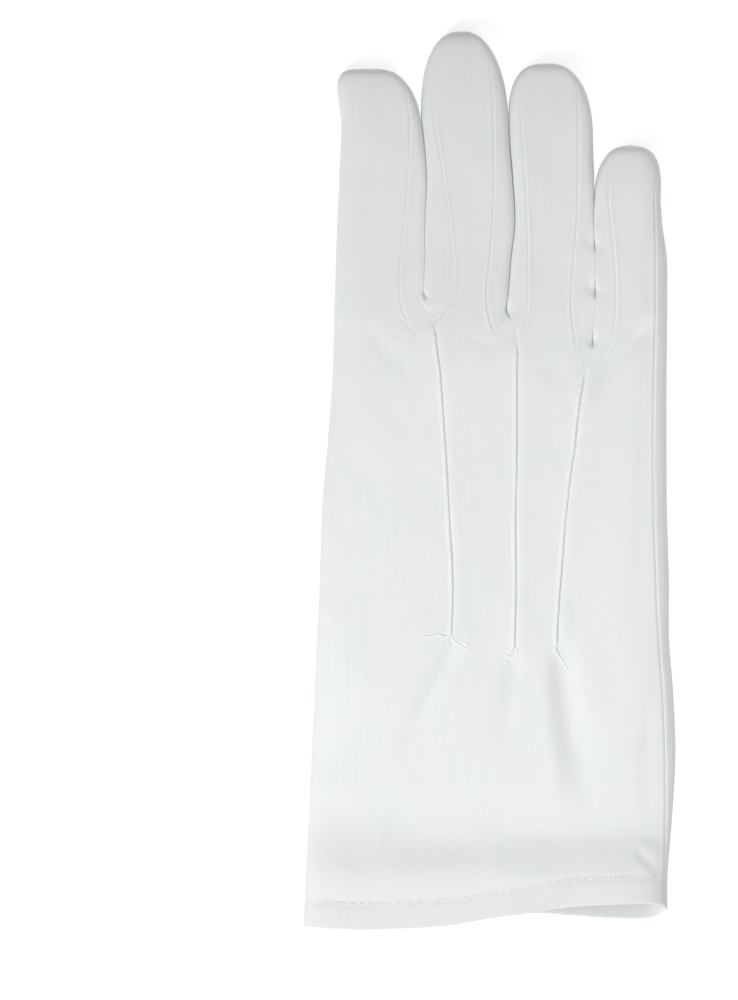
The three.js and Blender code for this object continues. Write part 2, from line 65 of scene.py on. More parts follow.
def smooth(keys, values, at):
    """A smooth curve through values at keys, read at any places."""
    keys = np.asarray(keys, float)
    values = np.asarray(values, float)
    place = np.clip(at, keys[0], keys[-1])
    upper = np.clip(np.searchsorted(keys, place, side="right"), 1, len(keys) - 1)
    slope = np.empty_like(values)
    slope[1:-1] = (values[2:] - values[:-2]) / (keys[2:] - keys[:-2])
    slope[0] = (values[1] - values[0]) / (keys[1] - keys[0])
    slope[-1] = (values[-1] - values[-2]) / (keys[-1] - keys[-2])
    span = keys[upper] - keys[upper - 1]
    t = (place - keys[upper - 1]) / span
    rise = values[upper] - values[upper - 1]
    leave = slope[upper - 1] * span
    arrive = slope[upper] * span
    cubic = 3 * rise - 2 * leave - arrive + t * (leave + arrive - 2 * rise)
    return values[upper - 1] + t * (leave + t * cubic)


def mix(a, b, t):
    return a + (b - a) * t


def ease(value, low, high):
    """0 below low, 1 above high, smooth between."""
    t = np.clip((value - low) / (high - low), 0, 1)
    return t * t * (3 - 2 * t)


def bump(value, middle, width):
    """A soft hill of height 1."""
    return np.exp(-(((value - middle) / width) ** 2))


print("halfway through a smooth step:", float(ease(0.5, 0, 1)))

# %% [markdown]
# Seen from above, six lines run the length of the glove: the folded edge beside the index finger, the three
# lines between the fingers, which go on down the back as the stitched points, the outer edge, and the seam
# just inside it. The thickness is that of the lying glove without its thumb. The cuff's edge wanders, and
# at the right its lower layer shows below the upper one.

# %% The lines of the glove
LINES = table(
    ("y", "fold", "gap1", "gap2", "gap3", "outer", "outseam"),
    [
        (-126, -52.2, -21.0, 2.0, 24.0, 50.2, 48.8),
        (-112, -51.6, -20.0, 2.6, 23.5, 49.9, 48.9),
        (-93, -50.7, -18.0, 3.6, 22.4, 51.4, 49.3),
        (-76, -49.9, -15.8, 4.6, 21.2, 52.2, 49.1),
        (-60, -49.1, -13.2, 5.8, 19.8, 51.6, 48.5),
        (-44, -48.4, -11.0, 6.9, 18.8, 50.4, 47.3),
        (-29, -47.6, -10.5, 7.1, 19.7, 50.4, 46.6),
        (-8, -46.9, -11.6, 7.1, 21.4, 49.8, 46.0),
        (10, -45.4, -12.6, 7.4, 23.6, 49.7, 45.8),
        (28, -44.1, -13.9, 7.4, 26.0, 49.7, 46.0),
        (38, -43.8, -15.1, 7.3, 28.7, 49.8, 46.2),
        (42.5, -43.7, -15.7, 6.2, 28.9, 49.8, 46.3),
        (46.5, -43.6, -17.2, 4.6, 29.1, 49.9, 46.4),
        (52, -43.4, -18.4, 5.2, 29.5, 49.9, 46.4),
        (62, -43.1, -18.1, 6.0, 29.5, 49.8, 46.4),
        (72, -42.7, -18.1, 7.1, 29.1, 48.5, 46.3),
        (84, -42.2, -17.6, 6.5, 29.4, 47.8, 46.0),
        (95, -41.7, -18.4, 5.6, 29.2, 47.8, 46.0),
        (105, -41.4, -19.7, 5.3, 29.0, 47.8, 46.0),
    ],
)
THICKNESS = {
    "y": (-126, -118, -110, -97, -84, -60, 0, 40, 60, 85, 105, 126),
    "total": (9.5, 10.3, 10.1, 7.4, 8.1, 9.0, 9.2, 9.6, 9.4, 8.9, 8.6, 8.4),
}
CUFF = table(
    ("x", "back", "palm"),
    [
        (-53, -124.9, -124.9),
        (-35, -125.7, -125.7),
        (-12, -124.6, -124.7),
        (1, -122.4, -122.6),
        (11, -121.0, -121.6),
        (22, -119.3, -122.2),
        (33, -118.6, -123.0),
        (42, -118.4, -123.2),
        (46, -118.5, -122.6),
        (49, -118.9, -121.0),
        (52, -119.2, -119.4),
    ],
)


def line_at(name, y):
    return smooth(LINES["y"], LINES[name], y)


def cuff_at(side, x):
    return smooth(CUFF["x"], CUFF[side], x)


print("width across the knuckles, mm:", float(line_at("outer", 10) - line_at("fold", 10)))

# %% [markdown]
# Between two fingers the back has two seams, one for each finger, and they meet at the crotch. The web
# is the deepest point of the gap seen from above. Each row of a gap's table gives the next pair of points
# on the two seams, from the crotch up. The seam from the web down to the crotch may bow sideways, and
# beside the index finger it ends some rows up, where it meets the middle finger's seam.

# %% Gaps and fingers
SEAM_ROWS = 8
SEAM_KEYS = np.arange(SEAM_ROWS + 1)
SIDES = ("left", "right")
OTHER = {"left": "right", "right": "left"}


def gap_row(crotch, web, bow, meets, seams):
    """One gap, with the seams of the fingers on its left and on its right."""
    columns = table(("leftX", "leftY", "rightX", "rightY"), seams)
    return {"crotch": crotch, "web": web, "bow": bow, "meets": meets, "seams": columns}


GAPS = {
    "gap1": gap_row((-15.7, 42.6), 51.3, 0.0, 1.9, [
        (-20.6, 41.6, -14.2, 45.4),
        (-23.4, 45.0, -11.9, 48.2),
        (-24.9, 50.0, -10.5, 52.5),
        (-25.1, 58.0, -10.1, 61.0),
        (-24.0, 70.0, -11.2, 73.5),
        (-22.9, 82.0, -12.9, 85.0),
        (-22.4, 92.0, -14.4, 94.5),
        (-22.1, 100.0, -15.6, 101.0),
    ]),
    "gap2": gap_row((7.3, 37.9), 46.8, 1.0, 0, [
        (3.1, 38.4, 8.6, 40.4),
        (0.9, 42.0, 9.8, 43.4),
        (-0.5, 47.0, 10.6, 48.5),
        (-0.9, 53.0, 10.8, 57.5),
        (0.1, 62.0, 10.6, 69.0),
        (0.9, 73.0, 10.2, 79.5),
        (1.3, 87.0, 9.6, 90.0),
        (1.1, 101.0, 9.0, 98.0),
    ]),
    "gap3": gap_row((26.6, 29.8), 37.9, 0.2, 0, [
        (25.0, 33.2, 30.0, 32.4),
        (24.0, 38.5, 33.0, 36.0),
        (23.0, 44.5, 34.6, 41.5),
        (22.8, 52.0, 35.3, 48.5),
        (23.6, 62.5, 35.2, 56.5),
        (24.5, 73.0, 34.7, 64.0),
        (24.8, 86.0, 34.0, 71.0),
        (24.9, 98.0, 33.2, 78.0),
    ]),
}


def finger_row(name, left, right, root_y, cap_y, tip, square):
    """One finger: the lines on its two sides, and how it rounds off above cap_y."""
    return {
        "name": name,
        "left": left,
        "right": right,
        "root_y": root_y,
        "cap_y": cap_y,
        "tip_x": tip[0],
        "tip_y": tip[1],
        "square": square,
    }


FINGERS = [
    finger_row("index", "fold", "gap1", 41, 100, (-32.5, 115.3), (5, 2.5)),
    finger_row("middle", "gap1", "gap2", 39, 101, (-7.3, 125.8), (2.5, 2.1)),
    finger_row("ring", "gap2", "gap3", 34, 98, (16.5, 116.8), (2.8, 2.3)),
    finger_row("little", "gap3", "outer", 30, 78, (39.5, 93.7), (2.6, 2.9)),
]
print("fingers:", [finger["name"] for finger in FINGERS])

# %% [markdown]
# The thumb lies folded under the palm, near the index finger's side. It lifts the palm off the surface,
# and the back above it a little. Its outline is a heel and a tip with a width that tapers between them.

# %% The thumb under the palm
THUMB_HEEL = np.array((-36.4, -43.0))
THUMB_TIP = np.array((-13.0, 31.0))
THUMB_LENGTH = np.linalg.norm(THUMB_TIP - THUMB_HEEL)
THUMB_THICKNESS = 5.2
THUMB_WIDE = 17.0
THUMB_NARROW = 10.0
LIFT_CLEARANCE = 0.3
LIFT_FADE = 24.0
BACK_LIFT = 3.6
BACK_LIFT_REACH = 27.0


def thumb_taper(share):
    """Half the thumb's width, from its heel at 0 to its tip at 1, before its ends are rounded."""
    return mix(THUMB_WIDE, THUMB_NARROW, ease(share, 0.3, 1))


def from_thumb(x, y):
    """How far a point lies outside the folded thumb's outline, and how far from its axis."""
    axis = THUMB_TIP - THUMB_HEEL
    dx = x - THUMB_HEEL[0]
    dy = y - THUMB_HEEL[1]
    share = np.clip((dx * axis[0] + dy * axis[1]) / (axis @ axis), 0, 1)
    away = np.hypot(dx - axis[0] * share, dy - axis[1] * share)
    return away - thumb_taper(share) * np.sqrt(1 - np.abs(2 * share - 1) ** 5), away


def palm_height(x, y):
    outside, _ = from_thumb(x, y)
    return (THUMB_THICKNESS + LIFT_CLEARANCE) * (1 - ease(outside, 0, LIFT_FADE))


def back_height(x, y):
    _, away = from_thumb(x, y)
    return smooth(THICKNESS["y"], THICKNESS["total"], y) + BACK_LIFT * bump(away, 0, BACK_LIFT_REACH)


print("height of the back over the thumb, mm:", float(back_height(np.array(-25.0), np.array(-6.0))))

# %% [markdown]
# Where two fingers part, the cloth goes from one level sheet to two separate domes, which makes the small
# valley at each crotch. Above it the two fingers press together, and how far up they do is a short table
# for each gap, as a share of the height over the middle.

# %% Where two fingers touch
FINGER_HALF_GAP = 0.05
PRESSED = {
    "gap1": {
        "y": (50, 51.3, 54, 60, 68, 76, 86, 96, 104, 112),
        "share": (0.95, 0.84, 0.93, 0.90, 0.86, 0.80, 0.68, 0.42, 0.15, 0),
    },
    "gap2": {
        "y": (45, 46.8, 50, 58, 70, 84, 94, 104),
        "share": (0.95, 0.74, 0.82, 0.70, 0.62, 0.52, 0.30, 0),
    },
    "gap3": {
        "y": (36.5, 37.9, 38.6, 42.5, 47, 51, 52.6, 56, 60, 64, 65.6, 69, 73, 78, 84, 90),
        "share": (
            0.98, 0.80, 0.70, 0.95, 0.98, 0.97, 0.66, 0.94,
            0.97, 0.96, 0.70, 0.90, 0.84, 0.62, 0.32, 0,
        ),
    },
}


def bridge(line, y):
    """How far the cloth still joins the two fingers beside a line: 1 in the hand, 0 above the web."""
    if line not in GAPS:
        return np.zeros_like(y)
    gap = GAPS[line]
    t = np.clip((y - gap["crotch"][1]) / (gap["web"] - gap["crotch"][1]), 0, 1)
    return np.sqrt(1 - t * t)


def pressed_up(line, y):
    """How far up two fingers press together beside a gap."""
    if line not in GAPS:
        return np.zeros_like(y)
    return smooth(PRESSED[line]["y"], PRESSED[line]["share"], y)


def half_gap(line, y):
    """Half the space between two fingers: none in the hand, and less where they press together."""
    return (1 - bridge(line, y)) * FINGER_HALF_GAP * (1.1 - pressed_up(line, y)) * (line in GAPS)


print("gaps:", {line: gap["web"] for line, gap in GAPS.items()})

# %% [markdown]
# The height of the skin is one function for all the pieces, so that their edges meet at every seam. A
# finger is a flattened tube, and so is the hand, with its widest line a little below the middle. The tips
# have less in them than the fingers, so they are thinner and lie lower.

# %% The height of the skin
OUTWARD = {"back": 1, "palm": -1}
MIDDLE_SHARE = 0.45
LOW_SEAM_SHARE = 0.8
TIP_THINNER = 0.86
TIP_LOWER = 0.6


def rounded(t, square):
    """A quarter of a rounded square: 1 at 0, 0 at 1."""
    return (1 - np.clip(np.abs(t), 0, 1) ** square) ** (1 / square)


def limits(finger, y):
    """The left and right edge of a finger's column, and how far it has closed to its tip."""
    foot = np.minimum(y, finger["cap_y"])
    left = line_at(finger["left"], foot) + half_gap(finger["left"], y)
    right = line_at(finger["right"], foot) - half_gap(finger["right"], y)
    closed = np.clip((y - finger["cap_y"]) / (finger["tip_y"] - finger["cap_y"]), 0, 1)
    half = (right - left) / 2
    centre = mix((left + right) / 2, finger["tip_x"], closed)
    low, high = finger["square"]
    return centre - half * rounded(closed, low), centre + half * rounded(closed, high), closed


def edge_at(finger, side, y):
    return limits(finger, y)[SIDES.index(side)]


def place_in_finger(finger, x, y):
    """Where a point lies from -1 to 1 across, how bridged its side is, and how far the tip has closed."""
    left, right, closed = limits(finger, y)
    half = np.maximum((right - left) / 2, 1e-6)
    across = np.clip((x - (left + right) / 2) / half, -1, 1)
    bridged = np.where(across < 0, bridge(finger["left"], y), bridge(finger["right"], y))
    return across, bridged, closed


def skin_height(finger, x, y, side):
    """The outer skin, on the back or on the palm, without seams and folds."""
    across, bridged, closed = place_in_finger(finger, x, y)
    low = palm_height(x, y)
    high = back_height(x, y) * mix(1, TIP_THINNER, closed ** 2)
    middle = mix(low, high, MIDDLE_SHARE * mix(1, TIP_LOWER, closed ** 2))
    if side == "palm":
        bowl = np.minimum(1, 1.07 * np.sqrt(1 - across ** 4)) * np.minimum(1, 1.1 * np.sqrt(1 - closed ** 4))
        return middle - (middle - low) * mix(bowl, 1, bridged)
    free = (1 - np.abs(across) ** 3.6) ** (1 / 2.4)
    share = np.where(across < 0, pressed_up(finger["left"], y), pressed_up(finger["right"], y))
    pressed = share + (1 - share) * (1 - np.abs(across) ** 9) ** (1 / 2.6)
    in_gap = np.where(across < 0, finger["left"] in GAPS, finger["right"] in GAPS)
    dome = np.where(in_gap, pressed, free) * (1 - closed ** 16) ** (1 / 2.8)
    return middle + (high - middle) * mix(dome, 1, bridged)


knuckle = np.array(60.0)
print("index finger at its knuckle, mm:", [round(float(v), 1) for v in limits(FINGERS[0], knuckle)[:2]])

# %% [markdown]
# On top of that smooth form comes the relief that makes it cloth. The first part of it is long and short
# soft waves: sines of many directions added up, with a fixed seed, so that each run gives the same cloth.

# %% Soft waves
WAVES = np.random.default_rng(11)
LONG_HEIGHT = 0.16
SHORT_HEIGHT = 0.05


def wave_set(count, length):
    """Directions, wave numbers and phases of a set of soft waves."""
    angle = WAVES.uniform(0, math.pi, count)
    number = 2 * math.pi / (length * WAVES.uniform(0.7, 1.5, count))
    return np.cos(angle) * number, np.sin(angle) * number, WAVES.uniform(0, 2 * math.pi, count)


def waves(wave, x, y):
    kx, ky, phase = wave
    return sum(np.sin(a * x + b * y + p) for a, b, p in zip(kx, ky, phase)) / math.sqrt(len(kx))


LONG_WAVES = wave_set(9, 55)
SHORT_WAVES = wave_set(12, 17)
SEAM_WAVES = wave_set(8, 7)


def soft_waves(x, y):
    return LONG_HEIGHT * waves(LONG_WAVES, x, y) + SHORT_HEIGHT * waves(SHORT_WAVES, x, y)


print("height of the soft waves at the origin, mm:", round(float(soft_waves(0.0, 0.0)), 3))

# %% [markdown]
# The second part is the folds that the photograph shows, where a seam or a stitched point pulls the cloth.
# A fold is one row: where it starts and ends, how wide and how high it is, and a negative height makes a
# valley. It bends a little, and gets wider and fades towards its end.

# %% Folds
FOLD_BEND = 0.02
FOLDS = table(
    ("x0", "y0", "x1", "y1", "width", "height"),
    [
        # below the little finger, a long diagonal valley with a ridge above it
        (44.5, 44.5, 28.5, 24.0, 2.6, -1.0),
        (44.0, 38.5, 31.5, 24.5, 2.8, 0.30),
        (43.5, 50.0, 33.0, 33.0, 2.2, 0.25),
        # under the crotches
        (-34.5, 43.0, -21.8, 29.0, 2.6, -0.34),
        (-25.2, 45.5, -19.0, 39.5, 0.6, -0.16),
        (-18.7, 51.0, -20.2, 55.5, 1.1, -0.30),
        (4.5, 46.8, 2.5, 44.3, 0.45, -0.65),
        (2.5, 44.2, 2.4, 41.0, 0.5, -0.14),
        (7.0, 42.0, 7.2, 38.3, 0.9, -0.22),
        (29.2, 52.3, 26.6, 55.9, 1.0, -0.55),
        (29.0, 37.8, 26.9, 38.3, 0.5, -0.40),
        (28.9, 65.2, 26.3, 68.8, 1.1, -0.45),
        (-6.6, 40.3, 4.0, 35.9, 1.8, -0.18),
        (-16.0, 44.0, -14.5, 36.0, 1.0, 0.12),
        (9.5, 37.0, 15.5, 41.5, 1.8, -0.12),
        (20.8, 27.5, 11.5, 34.0, 2.6, -0.16),
        # from the ends of the points towards the cuff
        (-8.6, -45.5, -24.5, -78.0, 2.9, -1.05),
        (7.6, -48.0, 4.0, -78.5, 2.8, -0.45),
        (20.2, -46.0, 27.8, -94.0, 4.3, -1.20),
        (15.0, -50.0, 20.5, -92.0, 3.2, 0.36),
        # along the cuff, above the stitches
        (10.0, -100.0, 50.0, -97.5, 4.0, -0.34),
        (6.0, -112.0, 50.0, -110.0, 4.5, 0.50),
        (-24.0, -101.5, 32.0, -99.0, 5.0, -0.38),
        (-52.0, -104.5, 4.0, -103.0, 3.4, -0.22),
        (41.0, -103.6, 49.0, -110.2, 1.4, -0.50),
        (41.5, -99.0, 49.6, -100.8, 1.0, -0.35),
        (-47.5, -88.0, -39.0, -96.0, 2.2, -0.20),
        # beside the folded edge and the outer seam
        (-40.0, 30.0, -42.5, -20.0, 3.4, -0.20),
        (43.6, 20.0, 43.4, -60.0, 2.4, -0.22),
        (44.5, -62.0, 45.8, -104.0, 2.4, -0.34),
        (-28.5, 14.0, -24.0, -40.0, 5.0, 0.20),
    ],
)


def in_fold(x, y, x0, y0, x1, y1):
    """How far a point lies along a fold, as a share of its length, how far beside it, and that length."""
    length = math.hypot(x1 - x0, y1 - y0)
    ax, ay = (x1 - x0) / length, (y1 - y0) / length
    return ((x - x0) * ax + (y - y0) * ay) / length, (x - x0) * ay - (y - y0) * ax, length


def folds(x, y):
    total = np.zeros_like(x)
    for x0, y0, x1, y1, width, height in zip(*FOLDS.values()):
        along, beside, length = in_fold(x, y, x0, y0, x1, y1)
        inside = np.clip(along, 0, 1)
        bend = FOLD_BEND * length * np.sin(inside * math.pi)
        fade = ease(along, -0.12, 0.22) * (1 - ease(along, 0.55, 1.12))
        total += height * fade * bump(beside - bend, 0, width * mix(0.75, 1.3, inside))
    return total


print("folds:", len(FOLDS["x0"]))

# %% [markdown]
# The third part is what sewing does to the cloth. Beside each stitched point it rises softly on the left
# and falls into a crease on the right. The hem is doubled, its line of stitches draws it in, and its edge
# curls inwards.

# %% Points and hem
POINT_ENDS = {"gap1": -44.0, "gap2": -47.5, "gap3": -46.5}
STITCH = 2.3
POINT_RISE = 0.13
POINT_EDGE = 0.16
POINT_CREASE = 0.22
HEM_DEPTH = 7.5
HEM_HEIGHT = 0.28
HEM_DRAWN_IN = 0.16
HEM_PULL = 0.07
HEM_WAVE = 0.16
EDGE_ROLL = 0.55
PALM_HEIGHT = 0.42
PALM_SOFTNESS = 0.6


def point_creases(x, y):
    """The cloth beside the three stitched points: a soft rise on the left and a crease on the right."""
    total = np.zeros_like(x)
    for line, end in POINT_ENDS.items():
        top = GAPS[line]["crotch"][1]
        beside = x - line_at(line, y)
        away = np.abs(beside)
        fade = ease(y, end - 3, end + 2) * (1 - ease(y, top - 1.5, top + 1.5))
        rise = np.where(beside < 0, POINT_RISE * np.exp(-away / 2.6), POINT_EDGE * np.exp(-away / 0.15))
        crease = -POINT_CREASE * np.exp(-np.abs(beside - 0.35) / 0.5) * (beside > 0)
        crease = crease + 0.08 * bump(beside, 2.2, 1.5)
        pull = 0.03 * np.sin(2 * math.pi * y / STITCH + waves(SEAM_WAVES, x, y)) * np.exp(-away / 1.4)
        total += (rise + crease + pull) * fade
    return total


def roll_in(rise):
    """How far the cuff's folded edge curves in, at a height above the edge."""
    below = EDGE_ROLL - np.minimum(rise, EDGE_ROLL)
    return EDGE_ROLL - np.sqrt(np.maximum(0, EDGE_ROLL ** 2 - below ** 2))


def cuff_relief(x, y, side):
    """The doubled hem, the line of stitches that draws it in, and the dip above it."""
    rise = y - cuff_at(side, x)
    hem = HEM_HEIGHT * (1 - ease(rise, HEM_DEPTH - 0.7, HEM_DEPTH + 0.5))
    stitches = -HEM_DRAWN_IN * bump(rise, HEM_DEPTH, 0.7)
    pull = HEM_PULL * np.sin(2 * math.pi * x / 2.6) * bump(rise, HEM_DEPTH, 1.5)
    wave = HEM_WAVE * np.sin(x / 6.1 + 0.8 * np.sin(x / 17)) * np.exp(-rise / 9)
    return hem + stitches + pull + wave


def surface(finger, x, y, side):
    """The outer skin with its relief, which fades towards the edges of a finger and its tip."""
    across, bridged, closed = place_in_finger(finger, x, y)
    inside = mix(1 - np.abs(across) ** 8, 1, bridged) * (1 - closed ** 4)
    soft = soft_waves(x, y)
    if side == "palm":
        relief = PALM_HEIGHT + PALM_SOFTNESS * soft - cuff_relief(x, y, side)
    else:
        relief = soft + folds(x, y) + point_creases(x, y) + cuff_relief(x, y, side)
    return skin_height(finger, x, y, side) + relief * inside


print("depth of the hem, mm:", HEM_DEPTH)

# %% [markdown]
# At a seam the cloth turns down into the stitches, bulges a little next to them, and is gathered along
# them. The seams of the fingers follow the tables of the gaps, and they get shallower towards the tips.
# A finger's seam starts at the crotch, at once on the right of a gap and softly on its left.

# %% Seams
ROWS_PER_STEP = 7
TIP_ROWS = 22
STEPS = np.linspace(0, SEAM_ROWS, SEAM_ROWS * ROWS_PER_STEP + 1)
TIP_ANGLES = np.radians(np.linspace(0, 90, TIP_ROWS + 1)[1:])
NARROWEST_STRIP = 0.5
NARROWEST_AT_TIP = 0.1
STRIP_ENDS = 0.92
SEAM_TURN = 0.11
SEAM_BULGE = 0.12
SEAM_GATHER = 0.045
GATHER_PITCH = 3.1


def seam_dip(x, y, distance, strength):
    """Cloth beside a seam: it turns down into it, bulges next to it and has small gathers along it."""
    turned = -SEAM_TURN * bump(distance, 0, 0.28)
    bulge = SEAM_BULGE * bump(distance, 0.7, 0.5)
    gather = np.sin(2 * math.pi * y / GATHER_PITCH + 1.3 * waves(SEAM_WAVES, x, y))
    return (turned + bulge + SEAM_GATHER * gather * np.exp(-distance / 1.7)) * strength


def seam_started(side, steps):
    """How strongly a finger's seam shows near the crotch."""
    return ease(steps, 1.0, 2.6) if side == "right" else ease(steps, 0.0, 0.8)


def toward_tip(finger, y):
    """Seams get shallower where a finger closes."""
    return mix(1, 0.2, ease(limits(finger, y)[2], 0, 0.5))


def seam_path(line, side, steps):
    """The seam on the back of the finger that has this line on its given side, from the crotch up."""
    gap = GAPS[line]
    places = [np.append(start, gap["seams"][OTHER[side] + axis]) for start, axis in zip(gap["crotch"], "XY")]
    return smooth(SEAM_KEYS, places[0], steps), smooth(SEAM_KEYS, places[1], steps)


def height_beside(finger, line, seam_y):
    """The height on a finger's edge that goes with a height on its seam: from the web up, evenly."""
    gap = GAPS[line]
    share = (seam_y - gap["crotch"][1]) / (finger["cap_y"] - gap["crotch"][1])
    return mix(gap["web"], finger["cap_y"], share)


def finger_side(finger, side):
    """Points along a finger's widest line and along the seam beside it, from the crotch to the tip."""
    line = finger[side]
    if line in GAPS:
        seam_x, seam_y = seam_path(line, side, STEPS)
        edge_y = height_beside(finger, line, seam_y)
        edge_x = edge_at(finger, side, edge_y)
        edge_x[0] = line_at(line, edge_y[0])
    else:
        opposite = GAPS[finger[OTHER[side]]]["seams"][side + "Y"]
        heights = mix(opposite, finger["cap_y"], (np.arange(SEAM_ROWS) / SEAM_ROWS) ** 3)
        edge_y = smooth(SEAM_KEYS, np.append(finger["root_y"], heights), STEPS)
        edge_x = edge_at(finger, side, edge_y)
        seam_x, seam_y = line_at("outseam" if line == "outer" else line, edge_y), edge_y
    closed = np.sin(TIP_ANGLES)
    tip_y = mix(finger["cap_y"], finger["tip_y"], closed)
    tip_x = edge_at(finger, side, tip_y)
    strip = abs(edge_x[-1] - seam_x[-1]) * np.maximum(0, 1 - (closed / STRIP_ENDS) ** 2) ** 0.85
    inward = 1 if side == "left" else -1
    edge = np.stack([np.append(edge_x, tip_x), np.append(edge_y, tip_y)], 1)
    seam = np.stack([np.append(seam_x, tip_x + inward * strip), np.append(seam_y, tip_y)], 1)
    return edge, seam


def no_strip(edge, seam):
    """Where the strip between an edge and a seam is too narrow to be there."""
    narrowest = np.where(np.arange(len(edge)) < len(STEPS), NARROWEST_STRIP, NARROWEST_AT_TIP)
    return np.linalg.norm(seam - edge, axis=1) < narrowest


def panel_end(edge, seam, share):
    """Where a panel ends: at the seam, or at a share of the way to it, and at the edge without a strip."""
    at = mix(edge, seam, share)
    return np.where(no_strip(edge, at)[:, None], edge, at)


print("rows along a finger:", len(STEPS) + TIP_ROWS)

# %% [markdown]
# A sheet of cloth is a grid of rows that run from left to right as seen from outside, each row a little
# further along than the last. Where two grids share an edge, their points are merged, so the back is one
# sheet that branches into four fingers. The seams are finer than the rest of the cloth, so the columns
# crowd together towards both sides of a finger.

# %% Rows of one finger
ACROSS = 36
SPREAD = (1 - np.cos(np.pi * np.arange(ACROSS + 1) / ACROSS)) / 2
SPREAD = mix(np.arange(ACROSS + 1) / ACROSS, SPREAD, 0.85)
CROTCH_SAG = 3.2


def finger_rows(finger, side):
    """The grid of one finger's part of the back or of the palm."""
    ends = []
    for which in SIDES:
        edge, seam = finger_side(finger, which)
        plain = finger[which] == "fold" or (finger[which] == "outer" and side == "palm")
        ends.append(edge if plain else panel_end(edge, seam, 1.0 if side == "back" else LOW_SEAM_SHARE))
    steps = np.append(STEPS, np.full(TIP_ROWS, SEAM_ROWS))[:, None]
    xy = mix(ends[0][:, None, :], ends[1][:, None, :], SPREAD[None, :, None])
    xy[..., 1] -= CROTCH_SAG * 4 * SPREAD * (1 - SPREAD) * np.exp(-steps / 1.4)
    x, y = xy[..., 0], xy[..., 1]
    z = surface(finger, x, y, side)
    width = np.linalg.norm(ends[1] - ends[0], axis=1)[:, None]
    for which, distance in zip(SIDES, (SPREAD * width, (1 - SPREAD) * width)):
        strength = seam_started(which, steps)
        if finger[which] == "outer":
            strength = 1.0 if side == "back" else 0.0
        if finger[which] == "fold":
            strength = 0.0
        dip = seam_dip(x, y, distance, strength * toward_tip(finger, y))
        z = z + OUTWARD[side] * dip
    return np.stack([x, y, z], -1)


print("points in a row of a finger:", ACROSS + 1)

# %% [markdown]
# In the hand the same columns run on down to the cuff. They follow the lines between the fingers, which
# carry the three points, so the crease beside each point falls between close columns. At the outer side
# the palm's cloth comes up round the edge to a seam beside the back.

# %% Rows of the hand and the side
HAND_ROWS = 150
ROLLED_ROWS = 0.0033 * (1 - np.cos(np.radians((0, 22, 45, 67, 90))))
HAND_REACH = np.append(ROLLED_ROWS, np.linspace(0.0065, 1, HAND_ROWS, endpoint=False))
WRAP_COLUMNS = 12


def column_x(finger, side, y):
    to_seam = finger["right"] == "outer" and side == "back"
    return mix(line_at(finger["left"], y), line_at("outseam" if to_seam else finger["right"], y), SPREAD)


def hand_rows(finger, side, reach, rolled=True):
    """The grid of one finger's column in the hand, from the cuff up to the first row of the finger."""
    first = finger_rows(finger, side)[0]
    reach = np.asarray(reach)[:, None]
    foot = cuff_at(side, column_x(finger, side, -120.0))
    y = mix(foot[None, :], first[None, :, 1], reach)
    shift = first[:, 0] - column_x(finger, side, first[:, 1])
    x = column_x(finger, side, y) + shift * reach ** 4
    z = surface(finger, x, y, side)
    if rolled:
        z = z - OUTWARD[side] * roll_in(y - foot)
    if finger["right"] == "outer" and side == "back" and rolled:
        z = z + seam_dip(x, y, np.abs(x - line_at("outseam", y)), 1.0)
    return np.stack([x, y, z], -1)


def wrap_columns(finger, edge, seam):
    """The palm's cloth from the outer edge up to the seam beside the back."""
    end = panel_end(edge, seam, 1)
    reach = 1 - np.cos(np.radians(np.linspace(0, 90, WRAP_COLUMNS)))
    reach = mix(reach, np.linspace(0, 1, WRAP_COLUMNS), 0.35)
    xy = mix(edge[:, None, :], end[:, None, :], reach[None, :, None])
    x, y = xy[..., 0], xy[..., 1]
    distance = np.linalg.norm(xy - end[:, None, :], axis=-1)
    z = surface(finger, x, y, "back") + seam_dip(x, y, distance, 1.0)
    z = np.where(no_strip(edge, seam)[:, None], skin_height(finger, x, y, "palm"), z)
    return np.stack([x, y, z], -1)


def hand_wrap(finger, rows):
    """The palm's wrapped part beside the hand, on the same rows."""
    x, y = rows[:, ACROSS, 0], rows[:, ACROSS, 1]
    from_cuff = y - cuff_at("palm", x)
    top = mix(cuff_at("back", x) + from_cuff, y, ease(from_cuff, 0, 40))
    return wrap_columns(finger, np.stack([x, y], 1), np.stack([line_at("outseam", top), top], 1))


def panel_grids(side):
    """One grid for each finger, from the cuff to the fingertip."""
    grids = []
    for finger in FINGERS:
        upper = finger_rows(finger, side)
        lower = hand_rows(finger, side, HAND_REACH)
        if finger["right"] == "outer" and side == "palm":
            upper = np.concatenate([upper, wrap_columns(finger, *finger_side(finger, "right"))[:, 1:]], 1)
            lower = np.concatenate([lower, hand_wrap(finger, lower)[:, 1:]], 1)
        grids.append(np.concatenate([lower, upper], 0))
    return grids


back_grids = panel_grids("back")
palm_grids = panel_grids("palm")
print("points in the back:", sum(grid.shape[0] * grid.shape[1] for grid in back_grids))

# %% [markdown]
# A grid becomes a mesh with one face between each four points. Each point also keeps its place in the
# flat cloth, measured along its row, as a UV map in metres, so the knit can run along the glove, and how
# far it lies in the doubled hem. Thickness comes from a Solidify modifier, which also closes the cut edges
# inside the seams.

# %% From grids to cloth
CLOTH = 0.5


def new_mesh(name, points, faces, places):
    """A mesh from points in millimetres, with each point's place in the flat cloth as a UV map."""
    mesh = bpy.data.meshes.new(name)
    mesh.from_pydata((points * MM).tolist(), [], faces)
    corner = np.empty(len(mesh.loops), int)
    mesh.loops.foreach_get("vertex_index", corner)
    layer = mesh.uv_layers.new(name="cloth")
    layer.uv.foreach_set("vector", (places * MM)[corner].ravel())
    return mesh


